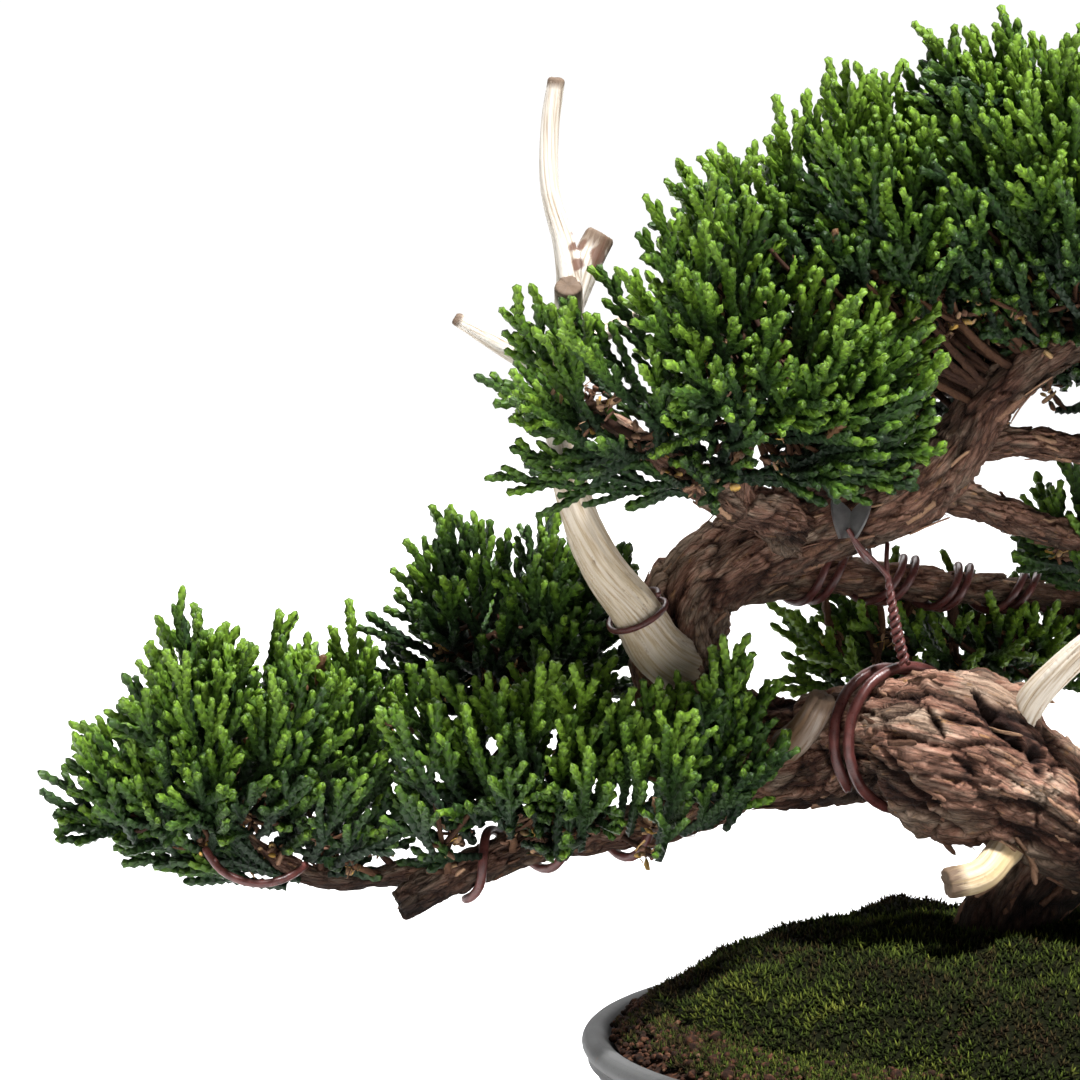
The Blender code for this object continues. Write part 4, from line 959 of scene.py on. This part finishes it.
dice = np.random.default_rng(31)
shred_parts, first = [], 0
for wood, runs, count, scale in barked:
    spots, normals = scattered(wood, 2.0, dice, lambda p, n: dice.random(len(p)) < 0.3)
    chosen = dice.permutation(len(spots))[:count]
    spots, normals = from_tree(spots[chosen]), normals[chosen]
    _, ways = in_grain(spots, runs, 0.0)
    flips = dice.choice((-1.0, 1.0), (len(spots), 1))
    ways = unit(ways * flips + 0.3 * np.cross(ways, normals) * dice.normal(0, 1, (len(spots), 1)))
    lengths = scale * dice.uniform(2.5, 8.5, len(spots))
    bends = normals * dice.uniform(0.02, 0.22, (len(spots), 1))
    starts = spots - ways * lengths[:, None] * 0.35 - normals * 0.1
    tones = np.stack([dice.uniform(-0.1, 0.42, len(spots))] * 2, 1)
    points, faces, tone, _ = cords(starts, ways, bends, lengths,
                                   scale * dice.uniform(0.4, 1.3, len(spots)), tones, normals,
                                   1.6 * scale, (1.0, 0.8), (0.16, 0.2))
    shred_parts.append((points, faces + first, tone))
    first += len(points)
points, faces, tone = (np.concatenate(parts) for parts in zip(*shred_parts))


def dry_shreds():
    """Loose bark, from grey tan to rust, with fibres."""
    bark = new_material("dry_shreds", 0.85, 0.2)
    fine = mottle(bark, place_mm(bark), 1.6, 5.0, 0.7)
    shifted = worked(bark, "MULTIPLY_ADD", fine, 0.6, remembered(bark, "tone"))
    tone = blended(bark, shifted, ((0.25, (0.07, 0.034, 0.02)), (0.5, (0.19, 0.1, 0.065)),
                                   (0.7, (0.3, 0.18, 0.11)), (0.9, (0.4, 0.26, 0.12)),
                                   (1.0, (0.5, 0.3, 0.07))))
    return surface(bark, tone, None, (fine, 0.35))


straw_look = dry_shreds()
in_place(big_piece("bark_shreds", on_tree(points), faces, False, tone=tone), straw_look, "bark")


# ------------------------------------------------------------------------------- deadwood
# Limbs stripped of bark and bleached, left by the grower to show age.  The silvery wood keeps its
# twisted grain in fine checks, with straw and grey streaks.

DEADWOOD = {
    "deadwood_spar": (
        ((-66.5, 6, 73, 5.8), (-71.4, -1.5, 78.5, 5.6), (-76, -5, 86.7, 4.8),
         (-82.5, -6.5, 96, 4.1), (-87.5, -7, 108.1, 3.5), (-89.8, -7.5, 120.1, 3.2),
         (-90.8, -8, 128.1, 3.2), (-90.1, -9, 138.1, 3.2), (-88.5, -9, 148, 2.7),
         (-89.5, -8, 157.8, 2.1), (-92.4, -7, 169.6, 1.8), (-92.4, -6, 181.3, 1.8),
         (-91.1, -6, 191.5, 1.6)),
        ((-90.4, -8.2, 132.5, 3), (-95, -9, 135.5, 2.4), (-100.3, -10, 138.2, 2),
         (-111.1, -12, 144.7, 1.2)),
        ((-89.2, -9, 142, 2.7), (-88.9, -12.5, 147.5, 2.6), (-88.9, -16, 151.4, 2.6)),
        ((-88.6, -9, 147, 2.8), (-86, -7, 153.7, 3), (-82.5, -5, 160.5, 3)),
        ((-89.6, -8.8, 138.5, 2.6), (-82.5, -6, 141.3, 2), (-73.6, -4, 144.5, 1.5)),
    ),
    "deadwood_low": (
        ((2, -12, 43.5, 3.6), (-3.3, -20, 39.6, 3.3), (-8, -26, 36.2, 3.1),
         (-14.7, -28, 34.9, 2.9)),
    ),
    "deadwood_right": (
        ((-1, -14, 62, 3.4), (3, -22, 71.5, 3), (10.8, -28, 80.5, 2.6), (19, -32, 88, 2.2),
         (26, -33, 97, 1.8), (30, -32, 109, 1.4)),
    ),
    "deadwood_left": (
        ((-45.5, 3, 57, 3.4), (-43.5, -5, 60, 3.2), (-40.5, -9, 64.5, 2.8),
         (-38, -11, 69.5, 2.4)),
    ),
}
DEADWOOD_VOXEL = 0.4
SCAR_PLACE = (-84.5, -8.5, 157.0)
STRAW_HEIGHTS = (92.0, 140.0)
# Each dead limb's share of straw tint, low and high on it; at a full share the tint turns dark brown,
# which on the left jin is painted shade.
STRAW_AND_SHADE_SHARE = {"deadwood_spar": (0.6, 0.15), "deadwood_low": (0.9, 0.9),
               "deadwood_right": (0.4, 0.3), "deadwood_left": (1.0, 1.0)}


def dry_relief(grain, girth):
    """Bare wood: long soft flutes and sharp drying checks."""
    scale = np.clip(girth / 3.0, 0.5, 1.3)
    flute = 0.5 * grain_noise(grain, 0.34, 0.03, 3.0) + 0.5 * grain_noise(grain, 0.7, 0.03, 6.0)
    check = np.clip(1 - np.abs(grain_noise(grain, 0.9, 0.05, 8.0)) / 0.09, 0, 1)
    check *= np.clip(0.3 + 2.0 * grain_noise(grain, 0.2, 0.03, 15.0), 0, 1)
    return 0.15 + scale * (0.55 * flute - 0.4 * check + 0.14 * grain_noise(grain, 2.0, 0.1, 25.0))


def bleached_wood():
    """Silvery dead wood with straw and grey lines along its grain, and painted shade in its checks and
    hollows.
    """
    wood = new_material("bleached_wood", 0.75, 0.25)
    grain, relief = remembered(wood, "grain", True), remembered(wood, "relief")
    line = grained(wood, grain, (1.7, 1.7, 0.035), 4.0, 0.6)
    cloud = grained(wood, grain, (0.25, 0.25, 0.045), 3.0)
    fine = grained(wood, grain, (6.0, 6.0, 0.12), 3.0, 0.7)
    tone = blended(wood, line, ((0.3, (0.15, 0.12, 0.1)), (0.42, (0.42, 0.36, 0.3)),
                                (0.52, (0.6, 0.56, 0.51)), (0.72, (0.75, 0.725, 0.69))))
    age = remembered(wood, "straw")
    straw = worked(wood, "MULTIPLY", blended(wood, cloud, ((0.3, 0.6), (0.6, 1.0))), age)
    # A full share gives dark brown: painted shade on the left jin.
    straw_and_shade_hue = blended(wood, age, ((0.9, (0.42, 0.3, 0.145)), (1.0, (0.17, 0.1, 0.055))))
    tone = mixed(wood, straw, tone, straw_and_shade_hue)
    tone = mixed(wood, remembered(wood, "scar"), tone, (0.13, 0.06, 0.04, 1.0))
    # Darker broken tips along the grain lines: the wood's own wear.
    worn_and_painted_shade = worked(wood, "MULTIPLY", remembered(wood, "tip"), line)
    tone = patched(wood, worn_and_painted_shade, (0.1, 0.4, 0.95), tone, (0.11, 0.07, 0.045, 1.0))
    # Painted shade in the wood's checks and hollows, from the kept relief.
    relief_for_painted_shade = ranged(wood, relief, -0.7, 0.2)
    deep = blended(wood, relief_for_painted_shade, ((0.0, (0.2, 0.14, 0.1)), (0.6, (1.0, 1.0, 1.0))))
    tone = shaded(wood, tone, deep)
    return surface(wood, tone, None, (line, 0.15), (fine, 0.1))


dry_look = bleached_wood()
for node, lines in DEADWOOD.items():
    runs = [smooth_run(line) for line in lines]
    limb = carved(f"{node}_grain", drawn_round(node, runs), runs, DEADWOOD_VOXEL, 0.03, dry_relief,
                  softness=1)
    places = from_tree(points_of(limb.data))
    stub = np.linalg.norm(places - SCAR_PLACE, axis=1)
    scar = np.clip(5 * (0.12 + noise_at(places * 0.45, 5.0) - np.abs(stub - 1.5) / 9), 0, 0.9)
    remember(limb.data, "scar", np.where(stub < 6.0, scar, 0.0))
    remember(limb.data, "straw", np.interp(places[:, 2], STRAW_HEIGHTS, STRAW_AND_SHADE_SHARE[node]))
    in_place(limb, dry_look, "deadwood", node)


# ------------------------------------------------------------------------------- wires
# Annealed copper training wire, gone dark red-brown, wound along the limbs.  A thinner pair is
# twisted into a guy that pulls the trunk down, with a split tube on it to save the bark.

GUY_AXIS = ((-21.9, -8, 75.6, 0.5), (-23.2, -7.2, 80.5, 0.5), (-24.2, -6.4, 86, 0.5),
            (-25.2, -5.6, 92.5, 0.5))
GUY_ENDS = (((-25.4, -3.4, 96, 0.5), (-25, 0.5, 98.6, 0.5)),
            ((-27.8, -6.2, 95.7, 0.5), (-31.0, -7.3, 99.0, 0.5), (-33.4, -7.4, 102.5, 0.5)))
GUY_TURNS, GUY_TWIST_RADIUS, GUARD_PLACE = 5.5, 0.85, (-32.0, 4.0, 104.2)


def dark_copper():
    """Oxidised copper: a half-gloss red-brown film with duller scuffs."""
    copper = new_material("dark_copper", 0.34, 0.4)
    film = mottle(copper, place_mm(copper), 0.5)
    scuff = mottle(copper, place_mm(copper), 2.4, 3.0)
    tone = blended(copper, film, ((0.35, (0.05, 0.014, 0.012)), (0.65, (0.1, 0.03, 0.026))))
    gloss = blended(copper, scuff, ((0.35, 0.27), (0.7, 0.5)))
    return surface(copper, tone, gloss, (scuff, 0.03))


def guard_rubber():
    """Smoke-grey see-through tube, a little cloudy and rubbed."""
    rubber = new_material("guard_rubber", 0.28)
    shader = rubber.node_tree.nodes["Principled BSDF"]
    shader.inputs["Transmission Weight"].default_value = 0.7
    shader.inputs["IOR"].default_value = 1.3
    cloud = mottle(rubber, place_mm(rubber), 0.45)
    tone = blended(rubber, cloud, ((0.3, (0.1, 0.1, 0.1)), (0.7, (0.26, 0.255, 0.25))))
    return surface(rubber, tone, None, (cloud, 0.06))


def rounded_wire(node, radius):
    """Copy a frame wire and round it: one subdivision, then back out to its radius."""
    wire = merged_copy(node, f"{node}_wound")
    finish_with(wire, "SUBSURF", levels=1, render_levels=1)
    reshaped(wire, lambda places, normals: places + normals * radius * 0.12 * MM)
    shade_round(wire)
    return wire


copper_look = dark_copper()
WIRES = {"wire_trunk": 1.15, "wire_back_first": 0.85, "wire_back_second": 0.85,
         "wire_low_left": 1.0, "wire_spar": 0.65, "wire_left_tail": 0.85}
for node, radius in WIRES.items():
    in_place(rounded_wire(node, radius), copper_look, "training_wire", node)
axis = smooth_run(GUY_AXIS, 0.4)
swirl = np.linspace(0, GUY_TURNS * 2 * pi, len(axis))
strands = []
for turn, end in zip((0, pi), GUY_ENDS):
    spread = GUY_TWIST_RADIUS * np.sin(np.linspace(0.35, 0.93, len(axis)) * pi)
    strand = axis.copy()
    strand[:, 0] += spread * np.cos(swirl + turn)
    strand[:, 1] += spread * np.sin(swirl + turn)
    strands.append(np.vstack([strand, smooth_run((tuple(strand[-1]),) + end, 0.4)[1:]]))
at = np.linalg.norm(trunk_runs[0][:, :3] - GUARD_PLACE, axis=1).argmin()
centre, way = trunk_runs[0][at, :3], trunk_runs[0][at + 1, :3] - trunk_runs[0][at - 1, :3]
side = unit(np.cross(way, (0, 0, 1)))
over = unit(np.cross(side, way))
turns = np.linspace(0, 2 * pi, 49)[:, None]
lift = trunk_runs[0][at, 3] + 2.1
loop = centre + lift * (side * np.cos(turns) + over * np.sin(turns))
strands.append(np.c_[loop, np.full(len(loop), 0.5)])
guy = drawn_round("guy_twisted", strands)
edit(guy, OUTWARD)
shade_round(guy)
in_place(guy, copper_look, "training_wire", "guy_wire")
bpy.ops.object.select_all(action="DESELECT")
bpy.ops.mesh.primitive_grid_add(x_subdivisions=16, y_subdivisions=8, size=2.0)
guard = bpy.context.object
guard.name = "guard_tube"
for vertex in guard.data.vertices:
    across, up, _ = vertex.co
    rise = (up + 1) / 2
    wide = 1.6 + 3.6 * rise - 1.2 * rise ** 3
    curl = abs(across) ** 1.6
    vertex.co = Vector(on_tree((-33.4 + across * wide + 0.8 * rise,
                                -6.6 + 2.2 * abs(rise - 0.4) - 1.6 * curl * (1.3 - 0.6 * rise),
                                100.6 + rise * (7.6 - 2.6 * (1 - abs(across)) ** 2))))
finish_with(guard, "SOLIDIFY", thickness=0.7 * MM, offset=0.0)
finish_with(guard, "BEVEL", width=0.15 * MM, segments=2, limit_method="ANGLE")
edit(guard, OUTWARD)
pick(guard)
bpy.ops.object.shade_smooth_by_angle(angle=radians(40))
in_place(guard, guard_rubber(), "guard_rubber", "wire_guard")


# ------------------------------------------------------------------------------- foliage
# Sprays of scale foliage in pads.  Each spray is a rising axis with side shoots on both sides,
# and every shoot is a blunt cord of scale leaves set in crossed pairs.

PADS = ("foliage_left", "foliage_middle_front", "foliage_middle_back", "foliage_upper_left",
        "foliage_crown_left", "foliage_crown_top", "foliage_crown_back", "foliage_crown_right",
        "foliage_right_upper", "foliage_right_lower", "foliage_back")
SPRAY_SPACING, CORD_RADIUS, LEAF_STEP = 6.4, 0.96, 0.85
SHOOT_ANGLE = radians(31)
# Shoots: their step along the parent, their share of what is left of it, and the least and the
# most that they measure.
SIDE_SHOOTS = (3.6, 0.6, 3.4, 17.0)
SMALL_SHOOTS, FROND_SHOOTS = (4.0, 0.42, 2.2, 6.5), (4.0, 0.32, 3.0, 10.0)
BEARING_SHOOT, SMALL_GIRTH, DEAD_SHARE = 8.0, 0.92, 0.004
SHORTEST_SPRAY, SPRAY_LENGTHS = 11, (20, 33)
FACING_DOWN, KEPT_BELOW, KEPT_PAST_SPAR = -0.35, 0.45, 0.45
PAD_VIGOUR = {"foliage_back": 0.4, "foliage_upper_left": 0.07, "foliage_middle_back": -0.12}
GUARD_CLEARANCE = 11.0
SPAR_SIDE, APEX_HEIGHT = -72.0, 98.0
# The middle front pad carries no sprays under it to the right of this.
UNDERSIDE_BARE = -84.0
FRONDS = {
    "foliage_left": ((-144, 0, 31.5), (
        (-191, -4, 45.5), (-188.5, -6, 50.5), (-180, 2, 37), (-186, -8, 56), (-174, -12, 61))),
    "foliage_upper_left": ((-57.5, -18, 113.5), (
        (-103, -24, 115), (-100, -27, 120.5), (-102, -26, 132), (-107, -20, 134),
        (-24, -26, 115), (-18, -24, 124), (-34.5, -30, 119), (-90.5, -20, 149),
        (-83, -15, 155))),
}
PAD_LIMBS = {"foliage_left": "branch_low_left", "foliage_middle_front": "branch_low_left",
             "foliage_middle_back": "branch_low_left", "foliage_upper_left": "branch_upper_left",
             "foliage_right_upper": "branch_right_upper",
             "foliage_right_lower": "branch_right_lower", "foliage_back": "branch_back"}


def shoots_on(starts, ways, bends, lengths, planes, tones, dice, step, reach, least, most):
    """Set side shoots alternately along each parent, leaning forward and curving upward."""
    found = []
    for i, length in enumerate(lengths):
        spots = np.arange(0.16 * length + dice.random() * step, length * 0.95, step)
        for number, spot in enumerate(spots):
            t = spot / length
            way = ways[i] + 2 * bends[i] * t
            way = way / np.linalg.norm(way)
            across = np.cross(way, planes[i])
            across = across / np.linalg.norm(across) * (1 if number % 2 else -1)
            roll = dice.normal(0, 0.42)
            across = across * cos(roll) + np.cross(way, across) * sin(roll)
            lean = SHOOT_ANGLE + dice.normal(0, 0.13)
            new_way = way * cos(lean) + across * sin(lean)
            long = min((1 - t) * reach * length + least, most) * dice.uniform(0.72, 1.2)
            place = starts[i] + length * (ways[i] * t + bends[i] * t * t)
            tone = tones[i][0] + (tones[i][1] - tones[i][0]) * t
            found.append((*place, *new_way, *(way * 0.22 + (0, 0, 0.05)), long,
                          *np.cross(way, across), tone * 0.9,
                          min(1.0, tone + dice.uniform(0.1, 0.36))))
    found = np.array(found)
    return (found[:, 0:3], found[:, 3:6], found[:, 6:9], found[:, 9], found[:, 10:13],
            found[:, 13:15])


def long_fronds(hub, ends, dice):
    """Start the long low fronds of a pad at their hub, each to its own end."""
    ends = np.array(ends, float)
    starts = np.array(hub, float) + dice.normal(0, 1.2, ends.shape)
    lengths = np.linalg.norm(ends - starts, axis=1)
    bends = np.tile((0.0, 0.0, 0.12), (len(ends), 1))
    ways = (ends - starts) / lengths[:, None] - bends
    planes = unit(np.cross(ways, (0, 0, 1)) + dice.normal(0, 0.2, ends.shape))
    tones = np.tile((0.06, 0.46), (len(ends), 1))
    return starts, ways, bends, lengths, planes, tones


def scale_foliage():
    """Scale leaves in crossed pairs: dark blue-green cords with bright yellow-green tips, painted shade
    at each scale's base and a painted highlight at its tip.
    """
    leaf = new_material("scale_foliage", 0.5, 0.22)
    across, around, along = add(leaf, "SeparateXYZ", {0: remembered(leaf, "leaf", True)}).outputs
    scales = []
    for side, start in ((across, 0.0), (around, 0.5)):
        rise = worked(leaf, "ADD", along, start)
        rise = worked(leaf, "FRACT", rise)
        reach = worked(leaf, "ABSOLUTE", side)
        scales.append(worked(leaf, "MULTIPLY", rise, reach))
    scale = worked(leaf, "MAXIMUM", scales[0], scales[1])
    fine = mottle(leaf, place_mm(leaf), 0.8, 3.0)
    cloud = mottle(leaf, place_mm(leaf), 0.09, 2.0)
    tone = worked(leaf, "MULTIPLY_ADD", fine, 0.3, remembered(leaf, "tone"))
    tone = worked(leaf, "MULTIPLY_ADD", cloud, 0.3, tone)
    green = blended(leaf, tone, (
        (0.32, (0.007, 0.016, 0.007)), (0.5, (0.013, 0.031, 0.011)),
        (0.68, (0.026, 0.06, 0.011)), (0.84, (0.06, 0.128, 0.010)), (1.0, (0.14, 0.25, 0.022))))
    # Painted shade in the crevice at each scale's base and a painted highlight at its tip.
    green = shaded(leaf, green, blended(leaf, scale, ((0.0, 0.3), (0.45, 0.9), (0.95, 1.25))))
    dead = blended(leaf, remembered(leaf, "dead"), ((0.4, 0.0), (0.6, 1.0)))
    green = mixed(leaf, dead, green, (0.09, 0.045, 0.02, 1.0))
    return surface(leaf, green, None, (scale, 0.75), (fine, 0.06))


def hearts_of(node):
    """Give the middles of the limb that carries a pad."""
    limb = PAD_LIMBS.get(node)
    runs = living_runs[limb] if limb else [trunk_runs[0]]
    hearts = np.vstack([run[::6, :3] for run in runs])
    hearts = hearts if limb else hearts[hearts[:, 2] > APEX_HEIGHT]
    return tree_of(hearts)


others = {}
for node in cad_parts:
    if node.startswith(("foliage", "trunk", "branch", "deadwood", "moss")):
        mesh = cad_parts[node].data
        others[node] = BVHTree.FromPolygons([v.co for v in mesh.vertices],
                                            [tuple(f.vertices) for f in mesh.polygons])

leaf_look = scale_foliage()
twig_sets = []
for number, node in enumerate(PADS):
    dice = np.random.default_rng(100 + number)

    def open_air(spots, normals):
        """Keep the places that no other pad or limb covers, and few of those that face down."""
        keep = []
        for spot, normal in zip(spots, normals):
            lift = Vector(spot + normal * 0.0004)
            covered = any(tree.ray_cast(lift, Vector(normal), 0.0035)[0] is not None
                          for other, tree in others.items() if other != node)
            keep.append(not covered)
        share = np.where(normals[:, 2] < FACING_DOWN, KEPT_BELOW, 1.0)
        return np.array(keep) & (dice.random(len(spots)) < share)

    source = merged_copy(node, "pad")
    tips, normals = scattered(source, SPRAY_SPACING, dice, open_air)
    bpy.data.objects.remove(source)
    tips = from_tree(tips)
    clumps = noise_at(tips * 0.085, 12.0 + number) + dice.uniform(-0.2, 0.5, len(tips)) > -0.2
    clear = np.linalg.norm((tips - GUARD_PLACE)[:, ::2], axis=1) > GUARD_CLEARANCE
    if node == "foliage_upper_left":
        clear &= (tips[:, 0] > SPAR_SIDE) | (dice.random(len(tips)) < KEPT_PAST_SPAR)
    if node == "foliage_middle_front":
        clear &= (normals[:, 2] > FACING_DOWN) | (tips[:, 0] < UNDERSIDE_BARE)
    tips, normals = tips[clumps & clear], normals[clumps & clear]
    heart_tree = hearts_of(node)
    near = np.array([heart_tree.find(tip)[0] for tip in tips])
    middle = tips.mean(0)
    out = unit(tips - (0.55 * near + 0.45 * (middle - (0, 0, 9))))
    under = np.clip(-normals[:, 2], 0, 1)[:, None]
    grow = unit(0.62 * out + 0.3 * normals * (1 - 0.8 * under) + (0, 0, 0.42)
                + dice.normal(0, 0.17, tips.shape))
    grow = np.where(under > 0.35, unit(out * (1, 1, 0.15) + (0, 0, 0.02)), grow)
    room = np.array([others[node].ray_cast(Vector(on_tree(tip - way * 0.8)), Vector(-way), 0.06)[3]
                     or 0.02 for tip, way in zip(tips, grow)]) / MM
    lengths = np.clip(np.minimum(dice.uniform(*SPRAY_LENGTHS, len(tips)), room * 0.85),
                      SHORTEST_SPRAY, SPRAY_LENGTHS[1])
    lengths = np.minimum(lengths, np.maximum(np.linalg.norm(tips - near, axis=1) * 0.95, 9))
    bends = 0.06 * normals + (0, 0, 0.16)
    proud = np.where(dice.random(len(tips)) < 0.22, dice.uniform(1, 5, len(tips)),
                     dice.uniform(-6, 1.5, len(tips)))
    starts = tips - lengths[:, None] * (grow + bends) + normals * proud[:, None]
    planes = unit(np.cross(grow, dice.normal(0, 1, tips.shape))
                  + 0.8 * np.cross(grow, np.cross(normals, grow)))
    # Sprays facing up get a brighter tone and those facing down a darker one: partly the fresher growth
    # on top, partly painted shade under the pads.
    vigour_and_painted_shade = 0.17 + PAD_VIGOUR.get(node, 0.0) + 0.24 * normals[:, 2]
    vigour_and_painted_shade = np.clip(vigour_and_painted_shade + dice.normal(0, 0.08, len(tips)), 0.0, 0.55)
    tones = np.stack([vigour_and_painted_shade * 0.3, vigour_and_painted_shade + 0.28], 1)
    axes = (starts, grow, bends, lengths, planes, tones)
    sides = shoots_on(*axes, dice, *SIDE_SHOOTS)
    long = sides[3] > BEARING_SHOOT
    small = shoots_on(*(part[long] for part in sides), dice, *SMALL_SHOOTS)
    growth = [axes, sides, small]
    if node in FRONDS:
        fronds = long_fronds(*FRONDS[node], dice)
        growth += [fronds, shoots_on(*fronds, dice, *FROND_SHOOTS)]
    joined = [np.concatenate(parts) for parts in zip(*growth)]
    starts_all, ways_all, bends_all, lengths_all, faced, tones_all = joined
    radii = CORD_RADIUS * dice.uniform(0.9, 1.1, len(lengths_all))
    first_small = len(axes[0]) + len(sides[0])
    radii[first_small:first_small + len(small[0])] *= SMALL_GIRTH
    dead = (dice.random(len(lengths_all)) < DEAD_SHARE).astype(float)
    tones_all = np.where(dead[:, None] > 0, 2.0, tones_all)
    points, faces, tone, leaf = cords(starts_all, ways_all, bends_all, lengths_all, radii,
                                      tones_all, faced, LEAF_STEP, (1.2, 0.78), (0.78, 1.2))
    spray = big_piece(node.replace("foliage", "sprays"), on_tree(points), faces,
                      tone=np.minimum(tone, 1.0), dead=(tone > 1.5).astype(float), leaf=leaf)
    in_place(spray, leaf_look, "foliage", node)
    twig_sets.append((heart_tree, near, starts + lengths[:, None] * 0.25 * grow))


# ------------------------------------------------------------------------------- twigs
# Thin woody twigs that carry the sprays out from the limbs.  They are straw and rust brown, with
# loose flakes, and show under the pads.

FLAKES_AT_HUB, TWIG_CELL = 10, 13.0
dice = np.random.default_rng(7)
hubs, lines = [], []
for heart_tree, near, tos in twig_sets:
    cells = {}
    for i, key in enumerate(map(tuple, np.floor(tos / TWIG_CELL).astype(int))):
        cells.setdefault(key, []).append(i)
    for own in cells.values():
        hub = tos[own].mean(0)
        root = np.array(heart_tree.find(near[own].mean(0))[0])
        reach = np.linalg.norm(hub - root)
        knee = root + (hub - root) * 0.7 - (0, 0, 0.05 * reach)
        lines.append((root, knee, 0.85))
        lines += [(knee, tos[i], 0.5) for i in own]
        hubs.append(knee)
starts = np.array([line[0] for line in lines])
spans = np.array([line[1] for line in lines]) - starts
lengths = np.maximum(np.linalg.norm(spans, axis=1), 0.5)
droop = np.stack([dice.normal(0, 0.13, len(lines)), dice.normal(0, 0.13, len(lines)),
                  dice.uniform(0.05, 0.22, len(lines))], 1)
radii = np.array([line[2] for line in lines]) * dice.uniform(0.85, 1.15, len(lines))
tones = np.stack([dice.uniform(0.0, 0.25, len(lines)), dice.uniform(0.1, 0.6, len(lines))], 1)
points, faces, tone, _ = cords(starts, spans / lengths[:, None] - droop, droop, lengths, radii,
                               tones, dice.normal(0, 1, starts.shape), 2.2, (1.2, 0.8), (1.0, 1.1))


def twig_bark():
    """Young bark from rust to straw."""
    bark = new_material("twig_bark", 0.8, 0.15)
    fine = mottle(bark, place_mm(bark), 1.4, 4.0)
    shifted = worked(bark, "MULTIPLY_ADD", fine, 0.5, remembered(bark, "tone"))
    tone = blended(bark, shifted, ((0.35, (0.03, 0.014, 0.009)), (0.7, (0.085, 0.04, 0.02)),
                                   (0.9, (0.2, 0.1, 0.04)), (1.0, (0.42, 0.25, 0.1))))
    return surface(bark, tone, None, (fine, 0.3))


in_place(big_piece("twigs", on_tree(points), faces, tone=tone), twig_bark(), "bark")

hubs = np.repeat(hubs, FLAKES_AT_HUB, 0) + dice.normal(0, 1.1, (len(hubs) * FLAKES_AT_HUB, 3))
count = len(hubs)
points, faces, tone, _ = cords(hubs, unit(dice.normal(0, 1, hubs.shape)),
                               dice.normal(0, 0.2, hubs.shape), dice.uniform(1.2, 2.8, count),
                               dice.uniform(0.35, 0.85, count),
                               np.stack([dice.uniform(0.1, 0.75, count)] * 2, 1),
                               dice.normal(0, 1, hubs.shape), 1.1, (1.0, 1.1), (0.22, 0.2))
in_place(big_piece("twig_flakes", on_tree(points), faces, False, tone=tone), straw_look, "bark")


# ------------------------------------------------------------------------------- studio
# A plain pale floor under a strong, fairly small light from above and in front.  A wide light
# brightens the floor behind, and the studio round it is white low down and dim higher up.

bpy.ops.object.select_all(action="DESELECT")
bpy.ops.mesh.primitive_circle_add(vertices=128, radius=2.0, fill_type="TRIFAN")
floor = bpy.context.object
floor.name = "floor"
pale = new_material("pale_floor", 0.9)
floor.data.materials.append(surface(pale, blended(pale, mottle(pale, place_mm(pale), 0.01),
                                                  ((0.3, (0.86, 0.86, 0.86)),
                                                   (0.7, (0.9, 0.9, 0.9))))))


def shine(name, place, aim, size, watts):
    """Hang a soft square light and aim it."""
    light = bpy.data.lights.new(name, "AREA")
    light.size, light.energy = size, watts
    lamp = placed(name, light)
    lamp.location = place
    lamp.rotation_euler = (Vector(aim) - Vector(place)).to_track_quat("-Z", "Y").to_euler()


heart = Vector((AXIS_X - 0.04, 0.0, RIM_HEIGHT * MM + 0.08))
shine("key", heart + Vector((0.42, -0.66, 1.75)), heart, 0.15, 122)
shine("floor_wash", (-0.2, 1.2, 1.3), (-0.2, 1.25, 0.0), 1.4, 34)
world = bpy.data.worlds.new("studio")
world.use_nodes = True
spot = add(world, "TexCoord").outputs["Generated"]
height = add(world, "SeparateXYZ", {0: spot}).outputs[2]
glow = ranged(world, height, 0.1, 0.3, 1.05, 0.04)
world.node_tree.links.new(glow, world.node_tree.nodes["Background"].inputs["Strength"])
world.node_tree.nodes["Background"].inputs["Color"].default_value = (1.0, 1.0, 1.0, 1.0)
bpy.context.scene.world = world
bpy.context.scene.view_settings.view_transform = "Standard"

lens = bpy.data.cameras.new("camera")
lens.sensor_width, lens.lens = 36.0, 180.3
camera = placed("camera", lens)
camera.location = (AXIS_X - 0.0944, -1.0731, RIM_HEIGHT * MM + 0.2217)
camera.rotation_euler = (radians(90 - 6.5), 0.0, 0.0)
bpy.context.scene.camera = camera
